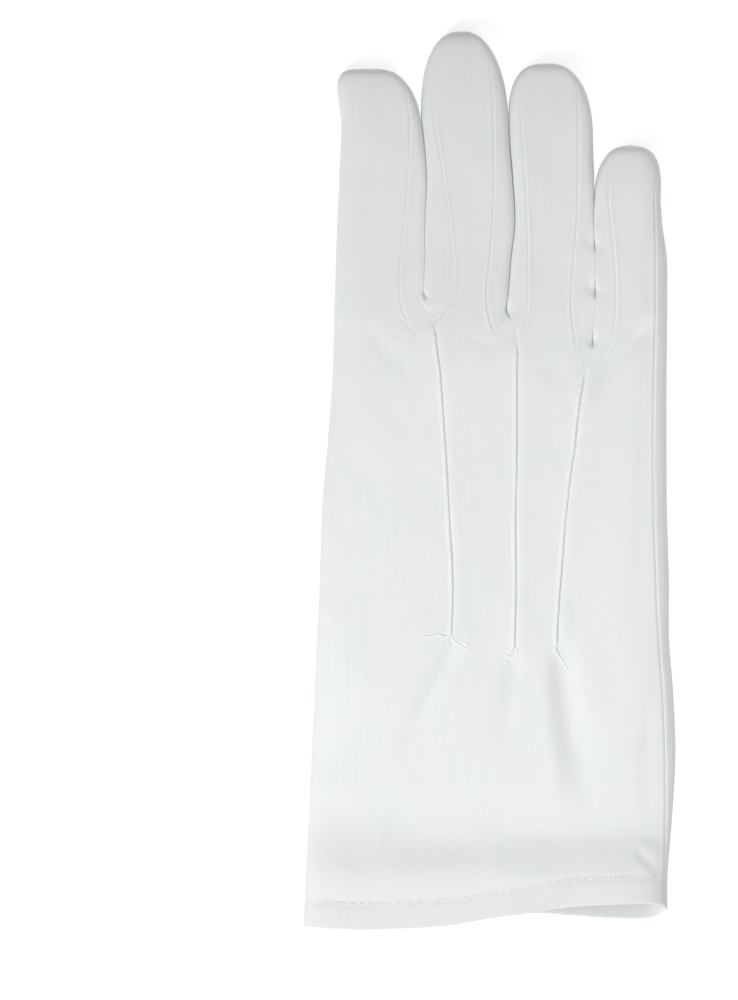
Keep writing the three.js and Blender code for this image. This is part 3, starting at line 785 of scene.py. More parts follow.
def new_piece(name, mesh):
    mesh.shade_smooth()
    piece = bpy.data.objects.new(name, mesh)
    bpy.context.collection.objects.link(piece)
    print(name, "faces:", len(mesh.polygons))
    return piece


def flat_places(grid):
    """Where each point lies in the flat cloth: across it, and along it."""
    steps = np.linalg.norm(np.diff(grid, axis=1), axis=-1)
    across = np.concatenate([np.zeros((len(grid), 1)), np.cumsum(steps, axis=1)], 1)
    middle = grid.shape[1] // 2
    across = across - across[:, middle:middle + 1] + grid[:, middle:middle + 1, 0]
    return np.stack([across, grid[..., 1]], -1)


def cloth_mesh(name, grids, flip=False, thickness=CLOTH):
    """A new object: the grids as one sheet, with a thickness inwards."""
    faces = []
    offset = 0
    turn = (0, 3, 2, 1) if flip else (0, 1, 2, 3)
    for grid in grids:
        index = offset + np.arange(grid.shape[0] * grid.shape[1]).reshape(grid.shape[:2])
        corners = [index[:-1, :-1], index[:-1, 1:], index[1:, 1:], index[1:, :-1]]
        faces.append(np.stack([corners[at] for at in turn], -1).reshape(-1, 4))
        offset += index.size
    points = np.concatenate([grid.reshape(-1, 3) for grid in grids])
    places = np.concatenate([flat_places(grid).reshape(-1, 2) for grid in grids])
    mesh = new_mesh(name, points, np.concatenate(faces).tolist(), places)
    hem_rise = points[:, 1] - cuff_at("back", points[:, 0])
    doubled = mesh.attributes.new("doubled", "FLOAT", "POINT")
    doubled.data.foreach_set("value", 1 - ease(hem_rise, HEM_DEPTH - 1.5, HEM_DEPTH + 1.0))
    form = bmesh.new()
    form.from_mesh(mesh)
    bmesh.ops.remove_doubles(form, verts=form.verts, dist=2e-6)
    bmesh.ops.dissolve_degenerate(form, edges=form.edges, dist=1e-7)
    for edge in form.edges:
        edge.smooth = not edge.is_boundary
    form.to_mesh(mesh)
    form.free()
    piece = new_piece(name, mesh)
    solid = piece.modifiers.new("thickness", "SOLIDIFY")
    solid.thickness = thickness * MM
    solid.offset = -1
    solid.use_rim = True
    return piece


back = cloth_mesh("back_of_hand", back_grids)
palm = cloth_mesh("palm_and_side", palm_grids, flip=True)

# %% [markdown]
# Between two fingers, each finger has its own narrow strip. It closes the side of the finger, from the
# seam on the back to the seam on the palm. Below the web the two strips are sewn to each other. That seam
# runs down to the crotch, except beside the index finger, where it is pulled across and ends against the
# middle finger's seam, so the index finger's strip wraps under it.

# %% Where two strips meet
MEET = 0.5
# the curve of a bow is highest a quarter of the way down, and this makes it about 1 there
BOW_TO_ONE = 9.5
PULLED_UP = 0.09


def seam_line(finger, side, half, steps):
    """The seam between a panel and a strip, as places in space."""
    line = finger[side]
    x, y = seam_path(line, side, steps)
    if half == "palm":
        edge_y = height_beside(finger, line, y)
        x = mix(edge_at(finger, side, edge_y), x, LOW_SEAM_SHARE)
        y = mix(edge_y, y, LOW_SEAM_SHARE)
    dip = seam_dip(x, y, 0 * x, seam_started(side, steps))
    return np.stack([x, y, surface(finger, x, y, half) + OUTWARD[half] * dip], -1)


def web_seam(line, half, reach):
    """Where the two strips beside a gap are sewn to each other, from the web down to the crotch."""
    gap = GAPS[line]
    at = [finger["right"] for finger in FINGERS].index(line)
    left, right = FINGERS[at], FINGERS[at + 1]
    foot = gap["crotch"] if half == "back" else seam_line(right, "left", half, np.array(0.0))[:2]
    y = mix(gap["web"], foot[1], reach)
    x = line_at(line, y) + gap["bow"] * BOW_TO_ONE * reach * (1 - reach) ** 3
    x = x + (foot[0] - line_at(line, foot[1])) * reach
    plain = np.stack([x, y, surface(left, line_at(line, y), y, half)], -1)
    if not gap["meets"]:
        return plain
    steps = gap["meets"] * (1 - np.clip((reach - MEET) / (1 - MEET), 0, 1))
    along_seam = seam_line(right, "left", half, steps)
    u = np.clip(reach / MEET, 0, 1)[:, None]
    pulled = mix(plain[:1], along_seam[:1], u)
    pulled[:, 2] = mix(plain[0, 2], along_seam[0, 2], 1 - np.exp(-u[:, 0] / 0.25) * (1 - u[:, 0]))
    pulled[:, 2] += PULLED_UP * np.sin(math.pi * u[:, 0]) * OUTWARD[half]
    return np.where(u < 1, pulled, along_seam)


print("the index finger's strip ends this far along the next seam, in rows:", GAPS["gap1"]["meets"])

# %% [markdown]
# A strip is a grid too. One half of it shows on the back and one on the palm, and between them stands the
# wall at the finger's side. Both halves run from the finger's edge to its seam, and at the crotch they are
# moved onto the seam between the strips.

# %% Strips between the fingers
STRIP_ACROSS = 14
STRIP_REACH = 1 - np.cos(np.radians(np.linspace(0, 90, STRIP_ACROSS + 1)))
STRIP_REACH = mix(STRIP_REACH, np.linspace(0, 1, STRIP_ACROSS + 1), 0.25)
MEET_COLUMNS = 9
WALL = np.array((0.1, 0.5, 0.9))


def strip_half(finger, side, half, edge, end, steps):
    """The part of a strip that shows on the back or on the palm."""
    line = finger[side]
    start = GAPS[line]["meets"] if side == "left" else 0
    reach = STRIP_REACH
    if start:
        shifted = start + (SEAM_ROWS - start) * STEPS / SEAM_ROWS
        end[:len(STEPS)] = seam_line(finger, side, half, shifted)[:, :2]
    elif GAPS[line]["meets"]:
        reach = np.append(STRIP_REACH * MEET, np.linspace(MEET, 1, MEET_COLUMNS)[1:])
    xy = mix(edge[:, None, :], end[:, None, :], reach[None, :, None])
    x, y = xy[..., 0], xy[..., 1]
    distance = np.linalg.norm(xy - end[:, None, :], axis=-1)
    started = seam_started(side, steps + start * (1 - steps / SEAM_ROWS))[:, None] * toward_tip(finger, y)
    started = started * np.clip(np.linalg.norm(end - edge, axis=1) / 1.2, 0, 1)[:, None]
    dip = seam_dip(x, y, distance, started)
    grid = np.stack([x, y, surface(finger, x, y, half) + OUTWARD[half] * dip], -1)
    moved = web_seam(line, half, reach * MEET if start else reach) - grid[0]
    fade = np.exp(-steps[:, None] / mix(0.7, 2.0, ease(reach, 0, 0.3)))
    return grid + moved[None] * fade[..., None]


def strip_grid(finger, side):
    """The grid of one strip, from the crotch to where it runs out near the fingertip."""
    edge, seam = finger_side(finger, side)
    wide = ~no_strip(edge, seam)
    rows = np.flatnonzero(wide)[-1] + 2
    steps = np.append(STEPS, np.full(TIP_ROWS, SEAM_ROWS))[:rows]
    halves = []
    for half, share in (("back", 1.0), ("palm", LOW_SEAM_SHARE)):
        end = np.where(wide[:, None], panel_end(edge, seam, share), edge)[:rows]
        halves.append(strip_half(finger, side, half, edge[:rows], end, steps))
    tall = halves[0][:, 0, 2] - halves[1][:, 0, 2]
    tall = tall * ease(tall, 0.05, 0.5)
    halves[0][:, 0] = halves[1][:, 0] + np.where(tall > 0.05, tall, 0)[:, None] * (0, 0, 1)
    wall = mix(halves[0][:, :1], halves[1][:, :1], WALL[None, :, None])
    return np.concatenate([halves[0][:, ::-1], wall, halves[1]], 1)


strips = []
for finger in FINGERS:
    for side in SIDES:
        if finger[side] in GAPS:
            name = f"strip_{finger['name']}_{side}"
            strip = cloth_mesh(name, [strip_grid(finger, side)], flip=side == "left")
            strips.append((strip, f"fourchette_{finger['name']}_{side}"))
print("strips:", [piece.name for piece, _ in strips])

# %% [markdown]
# The thumb is a flat tube of its own, sewn round an oval hole in the palm and folded under the palm. Both
# outlines are drawn about the thumb's axis and then divided into the same number of even steps, so that
# rows of cloth can run from one to the other.

# %% Outlines of the thumb and its hole
RING = 180
HOLE_ALONG = 0.33
HOLE_HALF_LENGTH = 23.0
HOLE_HALF_WIDTH = 10.5
AXIS = (THUMB_TIP - THUMB_HEEL) / THUMB_LENGTH
ASIDE = np.array((-AXIS[1], AXIS[0]))
HOLE_MIDDLE = mix(THUMB_HEEL, THUMB_TIP, HOLE_ALONG)


def evenly(curve, count):
    """The same closed curve with points at equal steps, from its first point."""
    closed = np.vstack([curve, curve[:1]])
    run = np.concatenate([[0], np.cumsum(np.linalg.norm(np.diff(closed, axis=0), axis=1))])
    at = np.linspace(0, run[-1], count, endpoint=False)
    return np.stack([np.interp(at, run, closed[:, 0]), np.interp(at, run, closed[:, 1])], 1)


def thumb_outline():
    turn = np.linspace(0, 2 * math.pi, 4000, endpoint=False)
    share = (1 + np.sign(np.cos(turn)) * np.abs(np.cos(turn)) ** 0.4) / 2
    half = np.sin(turn) * thumb_taper(share)
    edge = mix(THUMB_HEEL, THUMB_TIP, share[:, None]) + half[:, None] * ASIDE
    edge[:, 0] = np.maximum(edge[:, 0], line_at("fold", edge[:, 1]) + 0.9)
    return evenly(edge, RING)


def hole_edge():
    turn = np.linspace(0, 2 * math.pi, 2000, endpoint=False)[:, None]
    along = HOLE_HALF_LENGTH * np.cos(turn) * AXIS
    return evenly(HOLE_MIDDLE + along + HOLE_HALF_WIDTH * np.sin(turn) * ASIDE, RING)


print("length of the thumb, mm:", round(float(THUMB_LENGTH), 1))

# %% [markdown]
# The thumb's mesh starts at the hole, runs out to the thumb's edge and comes back below, where both sides
# meet along its middle line. Its underside has folds of its own, and a seam runs along its inner side.

# %% The thumb
THUMB_TOP_ROWS = 20
THUMB_UNDER_ROWS = 30
THUMB_ROUNDING = 6.5
THUMB_FOLDS = table(
    ("x0", "y0", "x1", "y1", "width", "height"),
    [
        (-52, -26, -24, -18, 3.0, 0.55),
        (-54, -14, -26, -10, 2.6, 0.40),
        (-38, -48, -31, -18, 2.8, 0.40),
        (-46, -40, -35, -8, 3.2, 0.50),
        (-24, -38, -25, -6, 3.0, 0.45),
        (-40, 4, -14, 9, 3.4, 0.28),
    ],
)


def thumb_relief(x, y):
    """Soft hollows and folds in the thumb's underside, as heights above the surface it lies on."""
    total = 0.32 + 0.24 * waves(LONG_WAVES, 2.2 * x, 1.6 * y)
    for x0, y0, x1, y1, width, height in zip(*THUMB_FOLDS.values()):
        along, beside, _ = in_fold(x, y, x0, y0, x1, y1)
        fade = ease(along, -0.1, 0.3) * (1 - ease(along, 0.5, 1.1))
        total = total + height * fade * bump(beside, 0, width)
    return np.maximum(total, 0.03)


def thumb_dome(from_edge):
    """How full the thumb is at a distance from its edge, from 0 to 1."""
    inside = np.minimum(from_edge / THUMB_ROUNDING, 1)
    return (1 - (1 - inside) ** 2.4) ** (1 / 2.1)


def thumb_grid():
    outline = thumb_outline()
    hole = hole_edge()
    to_axis = (outline - THUMB_HEEL) @ AXIS / THUMB_LENGTH
    opposite = np.roll(to_axis[::-1], 1)
    spine = mix(THUMB_HEEL, THUMB_TIP, np.clip((to_axis + opposite) / 2, 0.14, 0.88)[:, None])
    out = np.sin(np.radians(np.linspace(0, 90, THUMB_TOP_ROWS)))[:, None, None]
    back_in = 1 - np.sin(np.radians(np.linspace(90, 0, THUMB_UNDER_ROWS)))[1:, None, None]
    top = mix(hole[None], outline[None], out)
    under = mix(outline[None], spine[None], back_in)
    half = THUMB_THICKNESS / 2
    beside = np.linalg.norm(under - outline[None], axis=-1)
    from_hole = np.linalg.norm(top - hole[None], axis=-1)
    inside = np.linalg.norm(top - outline[None], axis=-1)
    high = half + half * thumb_dome(inside) + 0.3 * np.exp(-from_hole / 2)
    low = half * (1 - thumb_dome(beside)) + thumb_relief(under[..., 0], under[..., 1]) * thumb_dome(beside)
    sewn = ease(to_axis, 0.2, 0.4) * (1 - ease(to_axis, 0.97, 1.0)) * ((outline - THUMB_HEEL) @ ASIDE < 0)
    low = low + sewn * (0.35 * np.exp(-beside / 0.5) - 0.12 * bump(beside, 1.3, 0.8))
    z = np.concatenate([high, low], 0)
    xy = np.concatenate([top, under], 0)
    inset = sewn[None, :, None] * np.exp(-np.linalg.norm(xy - outline[None], axis=-1) / 0.5)[..., None]
    grid = np.concatenate([xy + 0.3 * inset * ASIDE, z[..., None]], -1)
    return np.concatenate([grid, grid[:, :1]], 1)


thumb = cloth_mesh("folded_thumb", [thumb_grid()], flip=True)

# %% [markdown]
# The palm's mesh has the same oval cut out of it, so the hollow of the hand goes on into the thumb. The
# faces inside the oval are deleted, and the points just inside it are moved out onto its edge.

# %% The hole in the palm
PALM_IS_BELOW = 9.0


def cut_hole(piece):
    """Take the palm's faces out of the oval, and bring the cloth round it onto its edge."""
    form = bmesh.new()
    form.from_mesh(piece.data)
    form.verts.ensure_lookup_table()
    place = np.array([v.co for v in form.verts]) / MM
    along = (place[:, :2] - HOLE_MIDDLE) @ AXIS
    aside = (place[:, :2] - HOLE_MIDDLE) @ ASIDE
    reach = np.hypot(along / HOLE_HALF_LENGTH, aside / HOLE_HALF_WIDTH)
    reach = np.where((reach < 1) & (np.abs(place[:, 2]) < PALM_IS_BELOW), reach, 2)
    inner = [v for v, r in zip(form.verts, reach) if r < 1]
    gone = [f for f in form.faces if all(reach[v.index] < 1 for v in f.verts)]
    bmesh.ops.delete(form, geom=gone, context="FACES")
    loose = [v for v in inner if v.is_valid and not v.link_faces]
    bmesh.ops.delete(form, geom=loose, context="VERTS")
    for v in inner:
        if v.is_valid:
            grow = 1 / reach[v.index]
            x, y = HOLE_MIDDLE + along[v.index] * grow * AXIS + aside[v.index] * grow * ASIDE
            v.co.x = x * MM
            v.co.y = y * MM
    form.to_mesh(piece.data)
    form.free()
    print("faces cut out of the palm for the thumb:", len(gone))


cut_hole(palm)

# %% [markdown]
# The cuff's edge is turned in and stitched down. The turned part is a band inside the glove: it starts
# where the back and the palm curl in at the edge, and lies a cloth's thickness below them.

# %% The turned-in hem
HAND_LENGTH = 165.0
HEM_CLOTH = 0.4
HEM_CLEARANCE = 0.05
CURL_RISES = EDGE_ROLL * (1 - np.cos(np.radians((0, 30, 60, 90))))
HEM_RISES = np.concatenate([CURL_RISES, np.linspace(1.1, HEM_DEPTH, 9)])


def hem_ring():
    """The cuff's surface round the wrist, in rows from the edge inwards, without its curled edge."""
    above, below = (
        [hand_rows(finger, side, HEM_RISES / HAND_LENGTH, rolled=False) for finger in FINGERS]
        for side in ("back", "palm")
    )
    wrap = hand_wrap(FINGERS[-1], below[-1])[:, 1:-1]
    above = [rows[:, :-1] for rows in above[:-1]] + above[-1:]
    below = np.concatenate([rows[:, 1:] for rows in below] + [wrap], 1)
    return np.concatenate(above + [below[:, ::-1]], 1)


def inward_of(ring):
    """The direction into the glove at each point of the ring, smoothed, across and up."""
    ahead = np.roll(ring, -2, axis=1) - np.roll(ring, 2, axis=1)
    inward = np.stack([ahead[..., 2], -ahead[..., 0]], -1)
    inward = inward / np.linalg.norm(inward, axis=-1, keepdims=True)
    for _ in range(3):
        inward = (np.roll(inward, 1, axis=1) + inward + np.roll(inward, -1, axis=1)) / 3
    return inward


hem_grid = hem_ring()
sunk = 2 * EDGE_ROLL - roll_in(HEM_RISES) + HEM_CLEARANCE
hem_grid[..., [0, 2]] += inward_of(hem_grid) * sunk[:, None, None]
hem_grid = np.concatenate([hem_grid, hem_grid[:, :1]], 1)
hem = cloth_mesh("turned_in_hem", [hem_grid], flip=True, thickness=HEM_CLOTH)

# %% [markdown]
# Each of the three points is a tuck: the cloth is pinched up and sewn through, so it stands as a narrow
# ridge that leans to the right. Its left side runs out softly into the back and its right side falls
# steeply into the crease, which is why it reads as one thin dark line. Its profile is drawn once and
# carried down the back, with a little gather at every stitch.

# %% The three stitched points
POINT_ROWS = 360
PROFILE = {
    "across": np.array((-1.45, -1.15, -0.80, -0.45, -0.15, 0.08, 0.24, 0.30, 0.27, 0.18, -0.10, -0.80)),
    "up": np.array((-0.10, 0.03, 0.15, 0.27, 0.35, 0.35, 0.28, 0.18, 0.06, -0.12, -0.30, -0.30)),
}


def back_surface(x, y):
    """The height of the back beside the points."""
    return back_height(x, y) + soft_waves(x, y) + folds(x, y) + point_creases(x, y)


def point_path(line, y):
    """Where the point runs: along its line, with a slight wander."""
    at = 40 * int(line[-1]) + 0 * y
    return line_at(line, y) + 0.10 * waves(SHORT_WAVES, at, y) + 0.05 * waves(SEAM_WAVES, at, y)


def point_bar(line):
    top = GAPS[line]["crotch"][1] - 0.8
    y = np.linspace(top, POINT_ENDS[line], POINT_ROWS)
    grown = np.sqrt(ease(top - y, -0.05, 3.0)) * np.sqrt(ease(y - POINT_ENDS[line], -0.05, 1.6))
    uneven = waves(SHORT_WAVES, 3 * len(line) + 0 * y, y)
    stitch = np.sin(2 * math.pi * y / STITCH + 2 * uneven)
    height = grown * (1 + 0.04 * stitch + 0.10 * uneven)
    x = point_path(line, y)[:, None] + PROFILE["across"] * mix(0.04, 1, grown)[:, None]
    x = x + 0.04 * stitch[:, None] * (PROFILE["across"] > 0)
    y = np.broadcast_to(y[:, None], x.shape)
    z = back_surface(x, y) + PROFILE["up"] * height[:, None] - 0.05
    return np.stack([x, y, z], -1)


def closed_bars(name, bars):
    """One mesh of closed bars. A bar is rows of points round it, and each end is closed by one face."""
    faces = []
    offset = 0
    for bar in bars:
        index = offset + np.arange(bar.shape[0] * bar.shape[1]).reshape(bar.shape[:2])
        turn = np.roll(index, -1, axis=1)
        faces += np.stack([index[:-1], turn[:-1], turn[1:], index[1:]], -1).reshape(-1, 4).tolist()
        faces += [index[0, ::-1].tolist(), index[-1].tolist()]
        offset += index.size
    points = np.concatenate([bar.reshape(-1, 3) for bar in bars])
    mesh = new_mesh(name, points, faces, points[:, :2])
    form = bmesh.new()
    form.from_mesh(mesh)
    bmesh.ops.recalc_face_normals(form, faces=form.faces)
    form.to_mesh(mesh)
    form.free()
    return new_piece(name, mesh)


points = {}
for line, name in (("gap1", "index"), ("gap2", "middle"), ("gap3", "ring")):
    points[name] = closed_bars(f"point_{name}_tuck", [point_bar(line)])

# %% [markdown]
# The sewing thread shows in three places: in a chain down each point, in loose ends below it and round
# the hem. The chain of small slanted stitches lies at the right foot of the point, and is looser and
# wider near the top of the one below the little finger. A thread is a thin tube round a path that lies
# on the cloth.

# %% Threads of the points
THREAD = 0.10
CHAIN_STITCH = 1.9
CHAIN_STEP = 0.22
CHAIN_BESIDE = 0.30
CHAINS = [("gap1", 39, -44, 0.06), ("gap2", 35, -47, 0.05), ("gap3", 27.5, 8, 0.42), ("gap3", 8, -46, 0.10)]
# across, along and above the cloth
THREAD_ENDS = [
    [(-10.9, -43.2, 0.25), (-10.4, -44.4, 0.3), (-9.2, -45.6, 0.16), (-7.6, -46.5, 0.14), (-6.6, -47.4, 0.2)],
    [
        (-11.3, -43.4, 0.3),
        (-12.6, -43.6, 0.34),
        (-14.6, -43.1, 0.16),
        (-16.6, -43.6, 0.14),
        (-18.1, -43.7, 0.2),
    ],
    [(-7.4, -46.4, 0.14), (-6.8, -45.4, 0.2), (-6.4, -46.3, 0.2), (-7.0, -47.3, 0.12)],
    [(6.9, -46.4, 0.3), (5.4, -47.2, 0.25), (4.2, -48.2, 0.14), (4.9, -49.2, 0.2), (6.2, -49.3, 0.14)],
    [(6.6, -47.4, 0.3), (5.0, -48.8, 0.2), (4.1, -50.4, 0.14), (5.2, -51.0, 0.2)],
    [(7.0, -46.6, 0.3), (7.6, -48.2, 0.2), (6.6, -49.8, 0.14), (6.2, -50.9, 0.2)],
    [(18.7, -45.5, 0.3), (18.3, -47.0, 0.34), (19.4, -49.2, 0.16), (20.9, -51.6, 0.14), (21.9, -53.4, 0.2)],
    [(18.6, -45.8, 0.3), (17.9, -47.2, 0.2), (18.4, -48.6, 0.14), (19.3, -48.9, 0.2)],
]


def tube_rows(x, y, z, radius, sides):
    """Rings of points round a path, for threads."""
    path = np.stack([x, y, z], 1)
    ahead = np.gradient(path, axis=0)
    ahead = ahead / np.linalg.norm(ahead, axis=1, keepdims=True)
    side = np.cross(ahead, (0.0, 0.0, 1.0))
    side = side / np.maximum(np.linalg.norm(side, axis=1, keepdims=True), 1e-9)
    up = np.cross(side, ahead)
    turn = np.linspace(0, 2 * math.pi, sides, endpoint=False)[None, :, None]
    return path[:, None, :] + radius * (np.cos(turn) * side[:, None, :] + np.sin(turn) * up[:, None, :])


def chain(line, top, end, swing):
    y = np.linspace(top, end, int(abs(top - end) / CHAIN_STEP))
    turn = 2 * math.pi * y / CHAIN_STITCH
    x = point_path(line, y) + CHAIN_BESIDE + swing * np.abs((turn / math.pi) % 2 - 1) - swing / 2
    return tube_rows(x, y, back_surface(x, y) + 0.06 + 0.2 * swing * np.cos(turn), THREAD, 6)


def thread_end(places):
    at = np.linspace(0, len(places) - 1, 40)
    x, y, up = (smooth(np.arange(len(places)), column, at) for column in zip(*places))
    return tube_rows(x, y, back_surface(x, y) + 0.35 * up, THREAD * 1.8, 8)


threads = [chain(*row) for row in CHAINS] + [thread_end(places) for places in THREAD_ENDS]
point_threads = closed_bars("threads_of_the_points", threads)

# %% [markdown]
# The hem's stitch is a row of short bars on the outside of the cuff, slanted to one side and the other in
# turn, one every 1.2 mm. It shows on the back and on the palm.

# %% Stitches of the hem
HEM_PITCH = 1.2
HEM_LEAN = 0.42


def hem_stitches(side, first, last):
    bars = []
    share = np.linspace(-1, 1, 6)
    for at, x in enumerate(np.arange(first, last, HEM_PITCH)):
        xs = x + HEM_LEAN * share
        ys = cuff_at(side, xs) + HEM_DEPTH + (HEM_LEAN if at % 2 else -HEM_LEAN) * share
        finger = FINGERS[sum(int(x > line_at(line, ys[0])) for line in GAPS)]
        above = 0.08 * np.cos(math.pi / 2 * share) - 0.01
        zs = surface(finger, xs, ys, side) + OUTWARD[side] * above
        bars.append(tube_rows(xs, ys, zs, THREAD * 1.3, 6))
    return bars


hem_bars = hem_stitches("back", -50.6, 48.0) + hem_stitches("palm", -49.0, 47.5)
hem_thread = closed_bars("stitches_of_the_hem", hem_bars)

# %% [markdown]
# The camera looks straight down through a long lens, so the glove shows no perspective. The picture is
# 738 by 1000 pixels, and one pixel is 0.28 mm of the glove.

# %% Camera
PICTURE_HEIGHT = 1000
PIXEL = 0.28 * MM
VIEW_CENTRE = (-33.7 * MM, -5.6 * MM)
CAMERA_HEIGHT = 1.6
HALF_THICKNESS = 0.005
SENSOR = 24

camera_data = bpy.data.cameras.new("camera")
camera_data.sensor_fit = "VERTICAL"
camera_data.sensor_height = SENSOR
camera_data.lens = SENSOR * (CAMERA_HEIGHT - HALF_THICKNESS) / (PICTURE_HEIGHT * PIXEL)
camera_data.clip_start = 0.01
camera_data.clip_end = 20
camera = bpy.data.objects.new("camera", camera_data)
camera.location = (*VIEW_CENTRE, CAMERA_HEIGHT)
bpy.context.collection.objects.link(camera)
bpy.context.scene.camera = camera
print("camera height, m:", CAMERA_HEIGHT, "lens, mm:", round(camera_data.lens, 1))

# %% [markdown]
# The main light comes from the lower left, so that folds and seams cast small soft shadows. A small light
# over the hand and a weak one from beyond the fingertips keep the rest bright, and the floor glows a
# little, as white paper under a glove would.

# %% Floor and light
FLOOR_HALF = 3.0
FLOOR_GLOW = 0.46
SKY_LIGHT = 0.225
LIGHTS = {
    "key": {"place": (-0.55, -0.75, 0.80), "aim": (0, -0.02, 0), "size": 0.5, "power": 9.4},
    "top": {"place": (0.03, -0.045, 0.30), "aim": (0.03, -0.046, 0), "size": 0.22, "power": 0.33},
    "fill": {"place": (0.25, 0.55, 0.45), "aim": (0, 0.05, 0), "size": 0.6, "power": 0.7},
}

floor_mesh = bpy.data.meshes.new("floor")
corners = [(x * FLOOR_HALF, y * FLOOR_HALF, 0) for x, y in ((-1, -1), (1, -1), (1, 1), (-1, 1))]
floor_mesh.from_pydata(corners, [], [(0, 1, 2, 3)])
floor = bpy.data.objects.new("floor", floor_mesh)
floor.location.z = -0.0001
bpy.context.collection.objects.link(floor)
paint = bpy.data.materials.new("pale_floor")
paint.use_nodes = True
shader = paint.node_tree.nodes["Principled BSDF"]
shader.inputs["Base Color"].default_value = (0.9, 0.9, 0.9, 1)
shader.inputs["Emission Color"].default_value = (1, 1, 1, 1)
shader.inputs["Emission Strength"].default_value = FLOOR_GLOW
shader.inputs["Roughness"].default_value = 0.9
floor_mesh.materials.append(paint)


def area_light(name, place, aim, size, power):
    data = bpy.data.lights.new(name, "AREA")
    data.shape = "SQUARE"
    data.size = size
    data.energy = power
    lamp = bpy.data.objects.new(name, data)
    lamp.location = place
    dx, dy, dz = np.array(aim) - np.array(place)
    tilt = math.acos(-dz / math.hypot(dx, dy, dz))
    lamp.rotation_euler = (0, tilt, math.atan2(-dy, -dx))
    bpy.context.collection.objects.link(lamp)


for name, row in LIGHTS.items():
    area_light(name, **row)
world = bpy.data.worlds.new("world")
world.use_nodes = True
world.node_tree.nodes["Background"].inputs["Color"].default_value = (1, 1, 1, 1)
world.node_tree.nodes["Background"].inputs["Strength"].default_value = SKY_LIGHT
bpy.context.scene.world = world
bpy.context.scene.view_settings.view_transform = "Standard"
print("lights:", list(LIGHTS))

# %% [markdown]
# The cloth is a fine warp knit of white nylon. Seen close it has thin upright wales, and from a distance
# only a faint upright streak is left, with a slightly cool white. One node group makes both from the
# cloth's own flat map, and gives out a height and a shade.

# %% The knit
COURSES_PER_WALE = 0.8
STREAK_STRETCH = (1100, 45, 1)
CLOUD_SCALE = 45.0


def node(tree, kind, **settings):
    made = tree.nodes.new(kind)
    for key, value in settings.items():
        setattr(made, key, value)
    return made


def maths(tree, operation, first, second):
    """A maths node; each input is a socket or a number."""
    made = node(tree, "ShaderNodeMath", operation=operation)
    for socket, value in zip(made.inputs, (first, second)):
        if isinstance(value, (int, float)):
            socket.default_value = value
        else:
            tree.links.new(value, socket)
    return made.outputs[0]


def noise(tree, place, scale, detail):
    made = node(tree, "ShaderNodeTexNoise")
    made.inputs["Scale"].default_value = scale
    made.inputs["Detail"].default_value = detail
    tree.links.new(place, made.inputs["Vector"])
    return made.outputs[0]


def knit_group():
    """Wales, courses and soft streaks of a fine knit, from a flat map in metres."""
    tree = bpy.data.node_groups.new("fine_knit", "ShaderNodeTree")
    tree.interface.new_socket("Place", in_out="INPUT", socket_type="NodeSocketVector")
    tree.interface.new_socket("Wale width", in_out="INPUT", socket_type="NodeSocketFloat")
    tree.interface.new_socket("Height", in_out="OUTPUT", socket_type="NodeSocketFloat")
    tree.interface.new_socket("Shade", in_out="OUTPUT", socket_type="NodeSocketFloat")
    entry = node(tree, "NodeGroupInput")
    out = node(tree, "NodeGroupOutput")
    split = node(tree, "ShaderNodeSeparateXYZ")
    tree.links.new(entry.outputs["Place"], split.inputs[0])
    loops = []
    for axis, per_wale in (("X", 1.0), ("Y", COURSES_PER_WALE)):
        count = maths(tree, "DIVIDE", split.outputs[axis], entry.outputs["Wale width"])
        loops.append(maths(tree, "SINE", maths(tree, "MULTIPLY", count, 2 * math.pi * per_wale), 0.0))
    fine = maths(tree, "ADD", loops[0], maths(tree, "MULTIPLY", loops[1], 0.45))
    stretch = node(tree, "ShaderNodeVectorMath", operation="MULTIPLY")
    stretch.inputs[1].default_value = STREAK_STRETCH
    tree.links.new(entry.outputs["Place"], stretch.inputs[0])
    streak = noise(tree, stretch.outputs[0], 1.0, 3.0)
    cloud = noise(tree, entry.outputs["Place"], CLOUD_SCALE, 2.0)
    height = maths(tree, "ADD", maths(tree, "MULTIPLY", fine, 0.5), maths(tree, "MULTIPLY", streak, 1.2))
    shade = maths(tree, "ADD", streak, maths(tree, "MULTIPLY", cloud, 0.8))
    tree.links.new(height, out.inputs["Height"])
    tree.links.new(shade, out.inputs["Shade"])
    return tree


KNIT = knit_group()
print("sockets of the knit:", [item.name for item in KNIT.interface.items_tree])

# %% [markdown]
# Every finish is this knit at its own scale. The back is the smooth side of it and the palm its ribbed
# side, as gloves of this kind have it, and the thread is whiter than both. Over the band of the hem, where
# the cloth lies double, the colour is made a shade darker by the value that each point of the mesh keeps.

# %% Materials
HEM_SHADE = (0.945, 0.94, 0.925, 1)
DARK_AT = 0.55
LIGHT_AT = 0.89444444


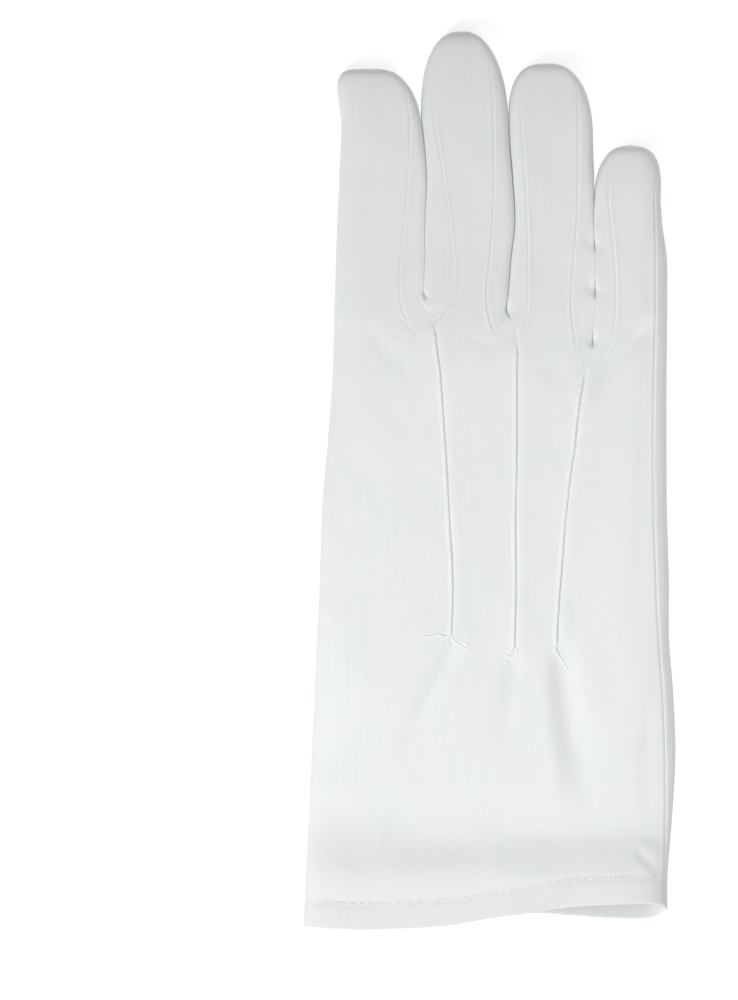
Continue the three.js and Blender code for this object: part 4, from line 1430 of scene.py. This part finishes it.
def cloth_material(name, dark, light, wale, roughness, depth):
    paint = bpy.data.materials.new(name)
    paint.use_nodes = True
    tree = paint.node_tree
    shader = tree.nodes["Principled BSDF"]
    shader.inputs["Roughness"].default_value = roughness
    shader.inputs["Sheen Weight"].default_value = 0.15
    shader.inputs["Sheen Roughness"].default_value = 0.5
    shader.inputs["Specular IOR Level"].default_value = 0.3
    place = node(tree, "ShaderNodeTexCoord")
    knit = node(tree, "ShaderNodeGroup", node_tree=KNIT)
    knit.inputs["Wale width"].default_value = wale
    tree.links.new(place.outputs["UV"], knit.inputs["Place"])
    ramp = node(tree, "ShaderNodeValToRGB")
    for end, at, colour in zip(ramp.color_ramp.elements, (DARK_AT, LIGHT_AT), (dark, light)):
        end.position = at
        end.color = (*colour, 1)
    tree.links.new(knit.outputs["Shade"], ramp.inputs[0])
    doubled = node(tree, "ShaderNodeAttribute", attribute_name="doubled")
    darker = node(tree, "ShaderNodeMix", data_type="RGBA", blend_type="MULTIPLY")
    darker.inputs[7].default_value = HEM_SHADE
    tree.links.new(doubled.outputs["Fac"], darker.inputs[0])
    tree.links.new(ramp.outputs["Color"], darker.inputs[6])
    tree.links.new(darker.outputs[2], shader.inputs["Base Color"])
    rough = node(tree, "ShaderNodeBump")
    rough.inputs["Strength"].default_value = 0.35
    rough.inputs["Distance"].default_value = depth
    tree.links.new(knit.outputs["Height"], rough.inputs["Height"])
    tree.links.new(rough.outputs[0], shader.inputs["Normal"])
    return paint


FINISHES = [
    {"name": "knit_cloth", "dark": (0.765, 0.80, 0.79), "light": (0.80, 0.825, 0.815),
     "wale": 0.00036, "roughness": 0.8, "depth": 0.00004},
    {"name": "ribbed_palm", "dark": (0.75, 0.785, 0.775), "light": (0.80, 0.825, 0.815),
     "wale": 0.0009, "roughness": 0.8, "depth": 0.00012},
    {"name": "stitched_points", "dark": (0.78, 0.81, 0.80), "light": (0.81, 0.835, 0.825),
     "wale": 0.00036, "roughness": 0.8, "depth": 0.00004},
    {"name": "thread", "dark": (0.87, 0.89, 0.88), "light": (0.91, 0.93, 0.92),
     "wale": 0.0002, "roughness": 0.6, "depth": 0.00003},
]
cloth, ribbed, tuck, thread_paint = [cloth_material(**finish) for finish in FINISHES]
print("finishes:", [finish["name"] for finish in FINISHES])

# %% [markdown]
# Every piece rides the glove's one body. The shaped cloth takes the place of the plain solids, and the
# threads come with it.

# %% What stands for what
dressed = [
    (back, "back_panel", cloth),
    (palm, "palm_panel", ribbed),
    (thumb, "thumb", ribbed),
    (hem, "cuff_hem", cloth),
]
dressed += [(piece, node_name, cloth) for piece, node_name in strips]
dressed += [(piece, f"point_{name}", tuck) for name, piece in points.items()]
for piece, node_name, paint in dressed:
    piece.data.materials.append(paint)
    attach(piece, "root")
    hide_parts(node_name)
for piece in (point_threads, hem_thread):
    piece.data.materials.append(thread_paint)
    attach(piece, "root")
print("pieces:", len(dressed) + 2)
